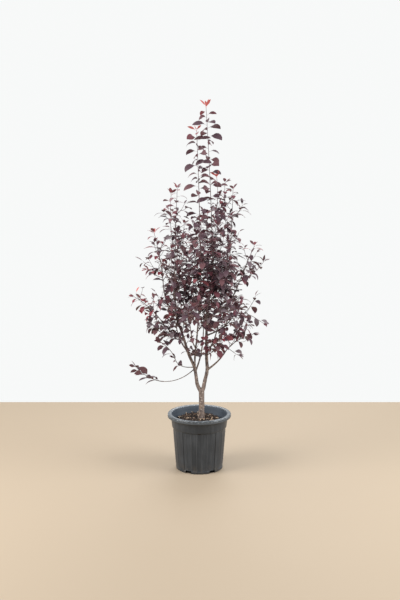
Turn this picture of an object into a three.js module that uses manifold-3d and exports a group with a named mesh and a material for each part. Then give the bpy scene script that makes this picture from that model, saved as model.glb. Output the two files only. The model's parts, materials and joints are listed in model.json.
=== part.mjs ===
// A young nigra cherry plum in a nursery pot: a short trunk that forks low, leaders that run up through
// the crown, boughs, and masses of leafy shoots. Millimetres, +Z up, seen in the photograph from -Y.
// The origin is the centre of the pot's flat underside.
import * as THREE from "three";
import { mergeVertices } from "three/addons/utils/BufferGeometryUtils.js";
import Module from "manifold-3d";

const wasm = await Module();
wasm.setup();

// Pot: a tapering wall with four shallow panels under a plain collar and a rolled rim.
const POT_HEIGHT = 355;
const POT_BASE_RADIUS = 149;
const POT_WALL = 5;
const PANEL_BOTTOM = 16;
const PANEL_TOP = 266;
const PANEL_TOP_RADIUS = 169;
const PANEL_DEPTH = 2;
const PANEL_COUNT = 4;
const PILASTER_WIDTH = 40;
const NOTCH_WIDTH = 45;
const NOTCH_HEIGHT = 5;
const COLLAR_STEP = 3.5;
const COLLAR_TOP = 331;
const COLLAR_TOP_RADIUS = 179;
const RIM_RADIUS = 200;
const POT_SIDES = 28;
const FOOT_ROUND = 4;
const RIM_ROUND = 3;
const RIM_DROP = 10;
const RIM_TOP_INSET = 10;
const RIM_MOUTH = 6;
const COLLAR_RISE = 7;
const CUTTER_DEPTH = 20;
const PILASTER_DEPTH = 80;
const SLOT_COUNT = 6;
const SLOT_WIDTH = 40;
const SLOT_HEIGHT = 18;
const SLOT_DEPTH = 22;

// Soil: mounded round the foot of the trunk, lower at the wall.
const SOIL_TOP = 316;
const SOIL_EDGE = 292;
const SOIL_FLAT_RADIUS = 46;
const SOIL_SHOULDER = { radius: 80, height: 318 };
const SOIL_SLOPE = { width: 30, rise: 11 };

// Clearance between a limb and what carries it.
const CLEAR = 0.3;

// Trunk and its fork.
const TRUNK_X = 14;
const TRUNK_FLARE_RADIUS = 24;
const TRUNK_RADIUS = 17;
const CROTCH_RADIUS = 18;
const CROTCH_HEIGHT = 505;
const TRUNK_SIDES = 9;

// The leaders, each through the points that it passes, with the radii at its foot and tip.
const LEADERS = {
  left_leader: {
    path: [
      [-16, 0, 556], [-31, -2, 649], [-66, -8, 733], [-105, -14, 864], [-138, -14, 960],
      [-152, -8, 1130], [-150, 2, 1290],
    ],
    radii: [12.2, 3.4],
  },
  right_leader: {
    path: [
      [34, 0, 556], [49, 2, 629], [46, 4, 703], [45, 6, 866], [56, 10, 1040], [84, 12, 1269],
      [81, 10, 1390],
    ],
    radii: [13, 4],
  },
  middle_leader: {
    foot: ["left_leader", 636],
    path: [[-27, -24, 722], [-16, -32, 831], [-6, -40, 960], [8, -46, 1180], [5, -40, 1420]],
    radii: [6.5, 3.4],
  },
};

// Boughs: the limb and height that each leaves, its tip, how far its middle bows out and down, and its
// radii. sag is the bow down where it isn't a share of the bow out.
const BOUGHS = {
  right_low_bough: { foot: ["right_leader", 632], tip: [160, -34, 752], bow: 0.08, radii: [6.5, 4] },
  right_inner_bough: { foot: ["right_leader", 735], tip: [118, 90, 900], bow: 0.14, radii: [5.5, 3.4] },
  back_bough: { foot: ["left_leader", 622], tip: [26, 128, 850], bow: 0.2, radii: [6, 3.6] },
  left_mid_bough: { foot: ["left_leader", 830], tip: [-232, -30, 944], bow: 0.12, radii: [5, 3.2] },
  left_back_bough: { foot: ["left_leader", 750], tip: [-150, 122, 900], bow: 0.18, radii: [5, 3.2] },
  front_bough: { foot: ["middle_leader", 780], tip: [-50, -162, 900], bow: 0.16, radii: [4.6, 3.2] },
  right_front_bough: { foot: ["right_leader", 770], tip: [140, -126, 900], bow: 0.16, radii: [5, 3.2] },
  right_mid_bough: { foot: ["right_leader", 850], tip: [206, 20, 960], bow: 0.14, radii: [5, 3.2] },
  far_left_bough: { foot: ["left_leader", 990], tip: [-222, 6, 1160], bow: 0.18, radii: [4.4, 3] },
  far_right_bough: { foot: ["right_leader", 965], tip: [232, -14, 1150], bow: 0.18, radii: [4.6, 3] },
  upper_right_bough: { foot: ["right_leader", 1140], tip: [190, 18, 1370], bow: 0.2, radii: [4.2, 2.8] },
  left_whip: { foot: ["left_leader", 650], tip: [-150, -50, 712], bow: 0.3, radii: [3, 2.2] },
  low_whip: { foot: ["left_leader", 640], tip: [-222, -26, 563], bow: -0.04, sag: 0.22, radii: [3.2, 2.2] },
};

// Masses of foliage: what carries each (a limb's tip, or a limb and a height), the tip of its stem, the
// tips of any further long shoots, its reach sideways, its count of side shoots and how far its leaves
// droop. crowding sets its leaves closer together.
const MASSES = {
  top_right: {
    foot: ["right_leader"], tip: [42, 0, 2225], reach: 84, shoots: 6, droop: 0.5, crowding: 1.15,
  },
  top_left: {
    foot: ["middle_leader"], tip: [-14, -34, 2090], reach: 80, shoots: 5, droop: 0.5, crowding: 1.2,
  },
  upper_left: {
    foot: ["left_leader"], tip: [-134, 6, 1755], more: [[-172, 30, 1722]], reach: 92, shoots: 5,
    droop: 0.5,
  },
  upper_right: {
    foot: ["upper_right_bough"], tip: [206, 24, 1750], more: [[158, 44, 1780]], reach: 92, shoots: 5,
    droop: 0.5,
  },
  upper_front: { foot: ["middle_leader", 1130], tip: [10, -180, 1560], reach: 112, shoots: 6, droop: 0.6 },
  upper_back: { foot: ["right_leader", 1150], tip: [50, 180, 1590], reach: 118, shoots: 6, droop: 0.6 },
  far_left: {
    foot: ["far_left_bough"], tip: [-266, 16, 1478], more: [[-308, -30, 1262]], reach: 100, shoots: 6,
    droop: 0.6,
  },
  far_right: {
    foot: ["far_right_bough"], tip: [322, 0, 1360], more: [[384, 40, 1292]], reach: 100, shoots: 6,
    droop: 0.6,
  },
  front_left: { foot: ["left_leader", 1040], tip: [-166, -190, 1400], reach: 128, shoots: 5, droop: 0.7 },
  front_right: { foot: ["right_leader", 1060], tip: [176, -190, 1390], reach: 128, shoots: 5, droop: 0.7 },
  back_left: { foot: ["left_leader", 1080], tip: [-140, 206, 1410], reach: 128, shoots: 5, droop: 0.7 },
  back_right: { foot: ["right_leader", 1030], tip: [190, 200, 1400], reach: 128, shoots: 5, droop: 0.7 },
  left_mid: { foot: ["left_mid_bough"], tip: [-392, -40, 1110], reach: 116, shoots: 5, droop: 0.8 },
  right_mid: { foot: ["right_mid_bough"], tip: [374, 34, 950], reach: 120, shoots: 5, droop: 0.8 },
  left_low: { foot: ["left_leader", 820], tip: [-286, -110, 930], reach: 118, shoots: 6, droop: 0.9 },
  right_low: { foot: ["right_low_bough"], tip: [318, -48, 830], reach: 120, shoots: 6, droop: 0.9 },
  low_front: { foot: ["front_bough"], tip: [-70, -300, 1060], reach: 124, shoots: 5, droop: 0.8 },
  low_right_front: {
    foot: ["right_front_bough"], tip: [226, -256, 1050], reach: 124, shoots: 5, droop: 0.8,
  },
  low_left_back: { foot: ["left_back_bough"], tip: [-256, 228, 1060], reach: 124, shoots: 5, droop: 0.8 },
  low_back: { foot: ["back_bough"], tip: [6, 300, 1050], reach: 124, shoots: 5, droop: 0.8 },
  low_right_back: { foot: ["right_inner_bough"], tip: [250, 236, 1050], reach: 124, shoots: 5, droop: 0.8 },
  inner_left: { foot: ["left_leader", 870], tip: [-80, 66, 1270], reach: 104, shoots: 6, droop: 0.8 },
  inner_front: { foot: ["middle_leader", 880], tip: [60, -130, 1110], reach: 100, shoots: 5, droop: 0.8 },
  inner_right_low: { foot: ["right_leader", 725], tip: [128, -112, 850], reach: 96, shoots: 4, droop: 0.9 },
  inner_low: { foot: ["middle_leader", 730], tip: [-118, -128, 850], reach: 100, shoots: 5, droop: 0.9 },
  whip_spray: {
    foot: ["left_whip"], tip: [-228, -66, 800], reach: 90, shoots: 1, droop: 0.8, crowding: 1.6,
  },
  low_whip_spray: {
    foot: ["low_whip"], tip: [-366, -34, 648], reach: 60, shoots: 1, droop: 0.9, crowding: 1.4,
  },
};

// Shoots and leaves.
const STEM_RADII = [3.4, 2.2];
const SHOOT_RADII = [2.8, 2];
const STEM_BOW = 0.16;
const SAG_SHARE = 0.8;
const LONG_SHOOT = { start: 0.16, bow: 0.12 };
const FIRST_LEAF = { onStem: 34, onTip: 16, onLongShoot: 40, onSideShoot: 22 };
const SHOOT_SPAN = [0.06, 0.74];
const SHOOT_REACH = 1.35;
const SHOOT_PARTS = [1, 0.8, 0.62, 0.48];
const SHOOT_OPEN_DEG = 60;
const SHOOT_CLOSE_DEG = 22;
const LEAF_LENGTH = 98;
const LEAF_WIDTH = 62;
const LEAF_STEP = 51;
const LEAF_THICKNESS = 6;
const LEAF_FOLD = 0.05;
const LEAF_ARCH = 0.1;
const LEAF_HANG = 0.34;
const LEAF_SINK = 1;
const LEAF_WIDEST = 0.5;
const LEAF_SCALES = [0.82, 1.08];
const LEAF_RISE = [-0.55, 0.15];
const LEAF_ROLL = 0.6;
const LEAF_TRIES = 6;
const LEAF_TURN_ON = 0.9;
const LEAF_MARGIN = 1.2;
const SMOOTHING = 0.2;
const SPACE_MARGIN = 3.5;
const LIMB_MARGIN = 4;
const GOLDEN_TURN = 2.399963;

const BARK = { color: 0x86776a, roughness: 0.85, metalness: 0 };
const YOUNG_BARK = { color: 0x6f5a55, roughness: 0.75, metalness: 0 };
const PLASTIC = { color: 0x4a4e50, roughness: 0.55, metalness: 0 };
const COMPOST = { color: 0x3b2c22, roughness: 0.95, metalness: 0 };
const LEAF_PURPLE = { color: 0x5a3440, roughness: 0.5, metalness: 0 };
const LEAF_RED = { color: 0x8a3a40, roughness: 0.5, metalness: 0 };

const tree = new THREE.Group();

// A repeatable stream of random numbers from 0 to 1.
function seeded(seed) {
  let state = seed >>> 0;
  return () => {
    state = (state + 0x6d2b79f5) >>> 0;
    let mixed = Math.imul(state ^ (state >>> 15), state | 1);
    mixed = (mixed + Math.imul(mixed ^ (mixed >>> 7), mixed | 61)) ^ mixed;
    return ((mixed ^ (mixed >>> 14)) >>> 0) / 4294967296;
  };
}

const vector = (p) => new THREE.Vector3(...p);
const between = (a, b, share) => a + (b - a) * share;

// A closed geometry as a solid. Triangles that collapse when vertices merge are dropped.
function solidOf(geometry) {
  const bare = geometry.index ? geometry.toNonIndexed() : geometry;
  const clean = new THREE.BufferGeometry().setAttribute("position", bare.getAttribute("position"));
  const merged = mergeVertices(clean, 1e-3);
  const index = merged.index.array;
  const kept = [];
  for (let i = 0; i < index.length; i += 3) {
    const [a, b, c] = [index[i], index[i + 1], index[i + 2]];
    if (a !== b && b !== c && a !== c) kept.push(a, b, c);
  }
  const vertProperties = merged.getAttribute("position").array;
  const triVerts = new Uint32Array(kept);
  return new wasm.Manifold(new wasm.Mesh({ numProp: 3, vertProperties, triVerts }));
}

function addPart(name, solid, finish) {
  const { vertProperties, triVerts } = solid.getMesh();
  const geometry = new THREE.BufferGeometry();
  geometry.setAttribute("position", new THREE.BufferAttribute(vertProperties, 3));
  geometry.setIndex(new THREE.BufferAttribute(triVerts, 1));
  geometry.computeVertexNormals();
  const part = new THREE.Mesh(geometry, new THREE.MeshStandardMaterial({ ...finish, flatShading: true }));
  part.name = name;
  tree.add(part);
}

// The largest of the pieces that a cut leaves.
function largest(solid) {
  return solid.decompose().reduce((best, piece) => (piece.volume() > best.volume() ? piece : best));
}

// A profile of [radius, height] pairs turned round the Z axis.
function turned(profile, sides) {
  const geometry = new THREE.LatheGeometry(profile.map(([r, z]) => new THREE.Vector2(r, z)), sides);
  return solidOf(geometry.rotateX(Math.PI / 2));
}

// A box on the -Y side of the pot, turned round to an azimuth.
function boxAt([width, depth, height], azimuth, radius, z) {
  const geometry = new THREE.BoxGeometry(width, depth, height);
  geometry.translate(0, -radius, z);
  return solidOf(geometry.rotateZ(azimuth));
}

const around = (count, shift, make) =>
  Array.from({ length: count }, (_, i) => make((2 * Math.PI * (i + shift)) / count));

function buildPot() {
  const shell = turned(
    [
      [0, 0],
      [POT_BASE_RADIUS - FOOT_ROUND, 0],
      [POT_BASE_RADIUS, FOOT_ROUND],
      [PANEL_TOP_RADIUS, PANEL_TOP + 2],
      [PANEL_TOP_RADIUS + COLLAR_STEP, PANEL_TOP + COLLAR_RISE],
      [COLLAR_TOP_RADIUS, COLLAR_TOP],
      [RIM_RADIUS - RIM_ROUND, COLLAR_TOP + RIM_ROUND],
      [RIM_RADIUS, COLLAR_TOP + RIM_DROP],
      [RIM_RADIUS - RIM_ROUND, POT_HEIGHT - RIM_ROUND],
      [RIM_RADIUS - RIM_TOP_INSET, POT_HEIGHT],
      [COLLAR_TOP_RADIUS - POT_WALL + RIM_MOUTH, POT_HEIGHT - RIM_ROUND],
      [COLLAR_TOP_RADIUS - POT_WALL, COLLAR_TOP],
      [PANEL_TOP_RADIUS - POT_WALL, PANEL_TOP],
      [POT_BASE_RADIUS - POT_WALL, POT_WALL],
      [0, POT_WALL],
    ],
    POT_SIDES,
  );
  const slope = (PANEL_TOP_RADIUS - POT_BASE_RADIUS) / (PANEL_TOP - 2);
  const panelRadius = (z) => POT_BASE_RADIUS + slope * (z - FOOT_ROUND) - PANEL_DEPTH;
  const ring = turned(
    [
      [panelRadius(PANEL_BOTTOM), PANEL_BOTTOM],
      [panelRadius(PANEL_BOTTOM) + CUTTER_DEPTH, PANEL_BOTTOM],
      [panelRadius(PANEL_TOP) + CUTTER_DEPTH, PANEL_TOP],
      [panelRadius(PANEL_TOP), PANEL_TOP],
      [panelRadius(PANEL_BOTTOM), PANEL_BOTTOM],
    ],
    POT_SIDES,
  );
  const pilasters = around(PANEL_COUNT, 0.5, (azimuth) =>
    boxAt([PILASTER_WIDTH, PILASTER_DEPTH, POT_HEIGHT], azimuth, PANEL_TOP_RADIUS, POT_HEIGHT / 2),
  );
  const notches = around(PANEL_COUNT, 0, (azimuth) => {
    const radius = panelRadius(PANEL_TOP) + CUTTER_DEPTH / 2 - PANEL_DEPTH / 4;
    return boxAt([NOTCH_WIDTH, CUTTER_DEPTH, 2 * NOTCH_HEIGHT], azimuth, radius, PANEL_TOP);
  });
  const slots = around(SLOT_COUNT, 0.5, (azimuth) =>
    boxAt([SLOT_WIDTH, SLOT_DEPTH, SLOT_HEIGHT * 2], azimuth, POT_BASE_RADIUS, 0),
  );
  const panels = ring.subtract(wasm.Manifold.union(pilasters));
  const pot = shell.subtract(wasm.Manifold.union([panels, ...notches, ...slots]));
  addPart("pot", largest(pot.asOriginal().simplify(0.02)), PLASTIC);
}

function buildSoil() {
  const slope = (PANEL_TOP_RADIUS - POT_BASE_RADIUS) / (PANEL_TOP - POT_WALL);
  const insideWall = (z) => POT_BASE_RADIUS - POT_WALL + slope * (z - POT_WALL) - 2 * CLEAR;
  const soil = turned(
    [
      [0, POT_WALL + CLEAR],
      [insideWall(POT_WALL), POT_WALL + CLEAR],
      [insideWall(SOIL_EDGE), SOIL_EDGE],
      [insideWall(SOIL_EDGE) - SOIL_SLOPE.width, SOIL_EDGE + SOIL_SLOPE.rise],
      [SOIL_SHOULDER.radius, SOIL_SHOULDER.height],
      [SOIL_FLAT_RADIUS, SOIL_TOP],
      [0, SOIL_TOP],
    ],
    POT_SIDES,
  );
  addPart("soil", soil, COMPOST);
}

// A tapering tube round a curve, with flat ends. radiusAt gives the radius at a share of the length.
function taperedTube(curve, radiusAt, sides, steps) {
  const frames = curve.computeFrenetFrames(steps, false);
  const rod = new THREE.CylinderGeometry(1, 1, 1, sides, steps);
  const position = rod.getAttribute("position");
  for (let i = 0; i < position.count; i++) {
    const share = Math.min(1, Math.max(0, 0.5 - position.getY(i)));
    const frame = Math.round(share * steps);
    const radius = radiusAt(share);
    const point = curve.getPointAt(share);
    point.addScaledVector(frames.normals[frame], radius * position.getX(i));
    point.addScaledVector(frames.binormals[frame], radius * position.getZ(i));
    position.setXYZ(i, point.x, point.y, point.z);
  }
  return solidOf(rod);
}

const curveThrough = (points) => new THREE.CatmullRomCurve3(points, false, "centripetal");

// The share of the length at which a rising curve reaches a height.
function shareAtHeight(curve, height) {
  let [low, high] = [0, 1];
  for (let i = 0; i < 24; i++) {
    const middle = (low + high) / 2;
    if (curve.getPointAt(middle).z < height) low = middle;
    else high = middle;
  }
  return low;
}

// A curve from a foot to a tip whose middle bows outwards and down.
function bowedCurve(foot, tip, bow, sag = bow * SAG_SHARE) {
  const length = foot.distanceTo(tip);
  const outward = new THREE.Vector3(tip.x - foot.x, tip.y - foot.y, 0).normalize();
  const middle = foot.clone().lerp(tip, 0.5).addScaledVector(outward, bow * length);
  middle.z -= sag * length;
  return new THREE.QuadraticBezierCurve3(foot, middle, tip);
}

// Every limb's curve, line of points and radius, by name.
const limbs = new Map();

function addLimb(name, curve, radii, sides, steps, carrier) {
  const radiusAt = (share) => between(radii[0], radii[1], Math.pow(share, 0.8));
  let solid = taperedTube(curve, radiusAt, sides, steps);
  if (carrier) solid = largest(solid.subtract(limbs.get(carrier).swollen));
  const swollen = taperedTube(curve, (share) => radiusAt(share) + CLEAR, sides, steps);
  limbs.set(name, { curve, swollen, solid, line: curve.getPoints(24), radius: radiusAt(0.3) });
  addPart(name, solid, sides > 6 ? BARK : YOUNG_BARK);
}

function footOf([limb, height]) {
  const { curve } = limbs.get(limb);
  return curve.getPointAt(height === undefined ? 1 : shareAtHeight(curve, height));
}

// The trunk with its flare, and the two short arms of its fork, which the leaders carry on from.
function buildTrunk() {
  const foot = SOIL_TOP + CLEAR;
  const stem = curveThrough([
    vector([TRUNK_X, 0, foot]),
    vector([TRUNK_X, 0, foot + 22]),
    vector([TRUNK_X + 1, 0, 420]),
    vector([TRUNK_X, 0, CROTCH_HEIGHT]),
  ]);
  const stemRadius = (share) => {
    const flare = (TRUNK_FLARE_RADIUS - TRUNK_RADIUS) * Math.exp(-share * 9);
    const swell = (CROTCH_RADIUS - TRUNK_RADIUS) * Math.pow(share, 3);
    return TRUNK_RADIUS + flare + swell;
  };
  const pieces = [taperedTube(stem, stemRadius, TRUNK_SIDES, 8)];
  for (const name of ["left_leader", "right_leader"]) {
    const { path, radii } = LEADERS[name];
    const top = vector(path[0]);
    const direction = vector(path[1]).sub(top).normalize();
    const arm = curveThrough([
      vector([TRUNK_X, 0, CROTCH_HEIGHT - 22]),
      vector([between(TRUNK_X, top.x, 0.42), 0, CROTCH_HEIGHT + 8]),
      top.clone().addScaledVector(direction, -14),
      top.clone().addScaledVector(direction, -CLEAR),
    ]);
    pieces.push(taperedTube(arm, (share) => between(CROTCH_RADIUS - 3, radii[0], share), TRUNK_SIDES, 4));
  }
  const trunk = wasm.Manifold.union(pieces).asOriginal().simplify(0.1);
  limbs.set("trunk", { solid: trunk, line: stem.getPoints(6), radius: TRUNK_RADIUS });
  addPart("trunk", trunk, BARK);
}

function buildLimbs() {
  for (const [name, { foot, path, radii }] of Object.entries(LEADERS)) {
    const points = path.map(vector);
    if (foot) points.unshift(footOf(foot));
    addLimb(name, curveThrough(points), radii, foot ? 7 : 8, 10, foot && foot[0]);
  }
  for (const [name, { foot, tip, bow, sag, radii }] of Object.entries(BOUGHS)) {
    addLimb(name, bowedCurve(footOf(foot), vector(tip), bow, sag), radii, 6, 4, foot[0]);
  }
}

// The stem of a mass starts a clearance beyond its limb's tip, or inside the limb that it leaves.
function stemCurve({ foot, tip }) {
  const start = footOf(foot);
  if (foot.length > 1) return bowedCurve(start, vector(tip), STEM_BOW);
  const onward = limbs.get(foot[0]).curve.getTangentAt(1);
  start.addScaledVector(onward, CLEAR);
  const middle = start.clone().addScaledVector(onward, start.distanceTo(vector(tip)) * 0.45);
  return new THREE.QuadraticBezierCurve3(start, middle, vector(tip));
}

function distanceToLine(point, line) {
  let least = Infinity;
  const nearest = new THREE.Vector3();
  for (let i = 1; i < line.length; i++) {
    new THREE.Line3(line[i - 1], line[i]).closestPointToPoint(point, true, nearest);
    least = Math.min(least, nearest.distanceTo(point));
  }
  return least;
}

// Every mass's stem as a curve and a line of points, by name.
const stems = new Map();

// A mass's space is where its own stem is nearest, counted in its reach.
function insideOwnSpace(own, point) {
  const { line, reach } = stems.get(own);
  const ownShare = (distanceToLine(point, line) + SPACE_MARGIN) / reach;
  for (const [name, other] of stems) {
    if (name === own) continue;
    if ((distanceToLine(point, other.line) - SPACE_MARGIN) / other.reach < ownShare) return false;
  }
  return true;
}

function clearOfLimbs(point) {
  for (const { line, radius } of limbs.values()) {
    if (distanceToLine(point, line) < radius + LIMB_MARGIN) return false;
  }
  return true;
}

function shootFits(name, curve) {
  return [0.3, 0.45, 0.6, 0.75, 0.9, 1].every((share) => {
    const point = curve.getPointAt(share);
    return insideOwnSpace(name, point) && clearOfLimbs(point);
  });
}

// A side shoot opens out from its stem at an azimuth and then turns up.
function sideShoot(start, azimuth, reach) {
  const aim = (degrees) => {
    const tilt = THREE.MathUtils.degToRad(degrees);
    const across = Math.sin(tilt);
    const level = [across * Math.cos(azimuth), across * Math.sin(azimuth)];
    return new THREE.Vector3(...level, Math.cos(tilt)).multiplyScalar(reach / 2);
  };
  const middle = start.clone().add(aim(SHOOT_OPEN_DEG));
  return new THREE.QuadraticBezierCurve3(start, middle, middle.clone().add(aim(SHOOT_CLOSE_DEG)));
}

// The shoots of a mass: its stem, its further long shoots, and side shoots wherever they fit its space.
function growShoots(name, mass, random) {
  const { stem } = stems.get(name);
  const first = mass.foot.length > 1 ? FIRST_LEAF.onStem : FIRST_LEAF.onTip;
  const shoots = [{ curve: stem, radii: STEM_RADII, steps: 5, first }];
  for (const tip of mass.more ?? []) {
    const curve = bowedCurve(stem.getPointAt(LONG_SHOOT.start), vector(tip), LONG_SHOOT.bow);
    shoots.push({ curve, radii: SHOOT_RADII, steps: 4, first: FIRST_LEAF.onLongShoot });
  }
  let azimuth = random() * 2 * Math.PI;
  for (let i = 0; i < mass.shoots; i++) {
    const share = between(...SHOOT_SPAN, (i + 0.3 + 0.4 * random()) / mass.shoots);
    const reach = mass.reach * SHOOT_REACH * (1 - 0.5 * share) * between(0.85, 1.15, random());
    azimuth += GOLDEN_TURN;
    const fitting = SHOOT_PARTS
      .map((part) => sideShoot(stem.getPointAt(share), azimuth, reach * part))
      .find((curve) => shootFits(name, curve));
    if (fitting) shoots.push({ curve: fitting, radii: SHOOT_RADII, steps: 2, first: FIRST_LEAF.onSideShoot });
  }
  return shoots;
}

// The corners of a folded leaf whose tip hangs. swell thickens it all round, to test its clearance.
function leafCorners(base, { out, roll, droop, scale }, swell) {
  const down = new THREE.Vector3(0, 0, -1);
  const side = new THREE.Vector3().crossVectors(out, down).normalize().applyAxisAngle(out, roll);
  const lift = new THREE.Vector3().crossVectors(out, side).normalize();
  const length = LEAF_LENGTH * scale;
  const root = base.clone().addScaledVector(out, swell ? SHOOT_RADII[0] + LEAF_MARGIN : -LEAF_SINK);
  const spine = base.clone().addScaledVector(out, length * LEAF_WIDEST);
  spine.addScaledVector(lift, length * LEAF_ARCH);
  const tip = base.clone().addScaledVector(out, length * (1 - 0.1 * droop) + swell);
  tip.addScaledVector(down, length * LEAF_HANG * droop);
  const half = (LEAF_WIDTH * scale) / 2 + swell;
  const edge = spine.clone().addScaledVector(lift, -length * LEAF_FOLD);
  return [
    root,
    edge.clone().addScaledVector(side, half),
    tip,
    edge.clone().addScaledVector(side, -half),
    spine.clone().addScaledVector(lift, swell),
    spine.clone().addScaledVector(lift, -LEAF_THICKNESS - swell),
  ];
}

function leafSolid(corners) {
  const geometry = new THREE.BufferGeometry().setFromPoints(corners);
  geometry.setIndex([0, 3, 4, 3, 2, 4, 2, 1, 4, 1, 0, 4, 3, 0, 5, 2, 3, 5, 1, 2, 5, 0, 1, 5]);
  return solidOf(geometry);
}

// Everything that a new leaf has to keep clear of, each with its box.
const placed = [];

function place(solid, owner) {
  placed.push({ solid, owner, box: solid.boundingBox() });
}

const boxesMeet = (a, b) => [0, 1, 2].every((i) => a.min[i] <= b.max[i] && b.min[i] <= a.max[i]);

function isFree(solid, besides) {
  const box = solid.boundingBox();
  const near = placed.filter((other) => other.owner !== besides && boxesMeet(box, other.box));
  return near.every((other) => solid.intersect(other.solid).isEmpty());
}

// Leaves turn round their shoot by the golden angle. One that would leave its mass's space or touch
// anything turns on, or is left out.
function growLeaves(name, mass, shoot, random) {
  const leaves = [];
  const { curve, first } = shoot;
  const length = curve.getLength();
  const tryLeaf = (base, blade) => {
    const corners = leafCorners(base, blade, LEAF_MARGIN);
    if (!insideOwnSpace(name, corners[4]) || !isFree(leafSolid(corners), shoot)) return false;
    leaves.push(leafSolid(leafCorners(base, blade, 0)));
    place(leaves.at(-1), null);
    return true;
  };
  let turn = random() * 2 * Math.PI;
  const lean = new THREE.Vector3(Math.cos(turn), Math.sin(turn), 0);
  const onward = curve.getTangentAt(1).addScaledVector(lean, 0.35).normalize();
  tryLeaf(curve.getPointAt(0.985), { out: onward, roll: 0, droop: 0.3, scale: LEAF_SCALES[0] });
  const step = LEAF_STEP / (mass.crowding ?? 1);
  for (let at = first; at < length; at += step * between(0.9, 1.1, random())) {
    turn += GOLDEN_TURN;
    const base = curve.getPointAt(at / length);
    const rise = between(...LEAF_RISE, random());
    const roll = between(-LEAF_ROLL, LEAF_ROLL, random());
    const scale = between(...LEAF_SCALES, random());
    const droop = mass.droop * between(0.5, 1.2, random());
    for (let i = 0; i < LEAF_TRIES; i++) {
      const out = new THREE.Vector3(Math.cos(turn), Math.sin(turn), rise).normalize();
      if (tryLeaf(base, { out, roll, droop, scale })) break;
      turn += LEAF_TURN_ON;
    }
  }
  return leaves;
}

function buildMasses() {
  for (const [name, mass] of Object.entries(MASSES)) {
    const stem = stemCurve(mass);
    stems.set(name, { stem, line: stem.getPoints(8), reach: mass.reach });
  }
  for (const [name, { solid }] of limbs) place(solid, name);
  const grown = Object.entries(MASSES).map(([name, mass], order) => {
    const random = seeded(101 + order * 17);
    const shoots = growShoots(name, mass, random);
    for (const shoot of shoots) {
      const { curve, radii, steps } = shoot;
      shoot.solid = taperedTube(curve, (share) => between(radii[0], radii[1], share), 3, steps);
      place(shoot.solid, shoot);
    }
    return { name, mass, shoots, random };
  });
  for (const { name, mass, shoots, random } of grown) {
    const leaves = shoots.flatMap((shoot) => growLeaves(name, mass, shoot, random));
    let solid = wasm.Manifold.union([...shoots.map((shoot) => shoot.solid), ...leaves]);
    solid = solid.asOriginal().simplify(SMOOTHING);
    if (mass.foot.length > 1) solid = solid.subtract(limbs.get(mass.foot[0]).swollen);
    addPart(`${name}_foliage`, largest(solid), name.includes("whip") ? LEAF_RED : LEAF_PURPLE);
  }
}

buildPot();
buildSoil();
buildTrunk();
buildLimbs();
buildMasses();

export default tree;
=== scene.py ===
"""Looks for a potted cherry plum tree: its pot, compost, bark, shoots and leaves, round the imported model."""
import json
import math

import bmesh
import bpy
import numpy as np
from bpy.props import FloatProperty, FloatVectorProperty, IntProperty, PointerProperty
from mathutils import Matrix, Vector, noise

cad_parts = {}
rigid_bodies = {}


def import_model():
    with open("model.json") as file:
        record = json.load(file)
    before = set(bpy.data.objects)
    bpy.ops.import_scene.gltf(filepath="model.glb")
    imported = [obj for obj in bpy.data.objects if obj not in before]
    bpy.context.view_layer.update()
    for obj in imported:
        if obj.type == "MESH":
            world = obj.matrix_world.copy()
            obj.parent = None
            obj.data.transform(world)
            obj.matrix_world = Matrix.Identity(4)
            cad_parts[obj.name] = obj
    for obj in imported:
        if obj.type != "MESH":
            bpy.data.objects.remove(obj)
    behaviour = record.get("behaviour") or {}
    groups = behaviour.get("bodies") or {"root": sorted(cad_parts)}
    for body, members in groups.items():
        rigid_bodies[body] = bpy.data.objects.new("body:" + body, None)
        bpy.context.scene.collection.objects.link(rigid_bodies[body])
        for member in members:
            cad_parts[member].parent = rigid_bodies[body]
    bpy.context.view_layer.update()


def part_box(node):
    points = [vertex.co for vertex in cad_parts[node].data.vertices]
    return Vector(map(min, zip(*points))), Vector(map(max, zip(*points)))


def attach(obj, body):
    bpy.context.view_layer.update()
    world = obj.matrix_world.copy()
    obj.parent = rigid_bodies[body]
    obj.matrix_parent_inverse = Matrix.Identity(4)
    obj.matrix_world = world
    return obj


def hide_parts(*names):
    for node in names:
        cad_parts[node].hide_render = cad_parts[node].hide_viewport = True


bl_info = {
    "name": "Potted Cherry Plum",
    "version": (1, 0, 0),
    "blender": (4, 5, 0),
    "location": "View3D > Sidebar > Cherry Plum",
    "description": "Dresses the packed model of a young purple-leaved tree in a nursery pot",
    "category": "Object",
}

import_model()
BODY = "root"

# The pot, soil and trunk, in metres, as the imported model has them.
POT_LOW, POT_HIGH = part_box("pot")
POT_HEIGHT = POT_HIGH.z
RIM_RADIUS = (POT_HIGH.y - POT_LOW.y) / 2
BASE_RADIUS = 0.149
BASE_ROUND = 0.005
PANEL_BOTTOM = 0.016
PANEL_TOP = 0.266
PANEL_TOP_RADIUS = 0.169
PANEL_COUNT = 4
PILASTER_WIDTH = 0.040
PANEL_HALF = math.pi / PANEL_COUNT - PILASTER_WIDTH / 2 / PANEL_TOP_RADIUS
COLLAR_STEP = 0.0035
COLLAR_TOP = 0.331
COLLAR_TOP_RADIUS = 0.179
LIP_RADIUS = 0.0036
BEAD_RADIUS = 0.0075
NOTCH_WIDTH = 0.045
NOTCH_HEIGHT = 0.011
NOTCH_DEPTH = 0.0012
SLOT_COUNT = 6
SLOT_WIDTH = 0.041
SLOT_DEPTH = 0.022
SLOT_HEIGHT = 0.018
SLOT_TURN = math.radians(2.7)
CUT_ROUND = 0.003
# Heights up the inside of the wall, and its radii there.
INSIDE_WALL = ([0.005, 0.266, 0.331], [0.144, 0.164, 0.174])
SOIL_EDGE = 0.288
SOIL_TOP = 0.316
SOIL_RADIUS = 0.168
SOIL_FOOT = 0.0053
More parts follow.
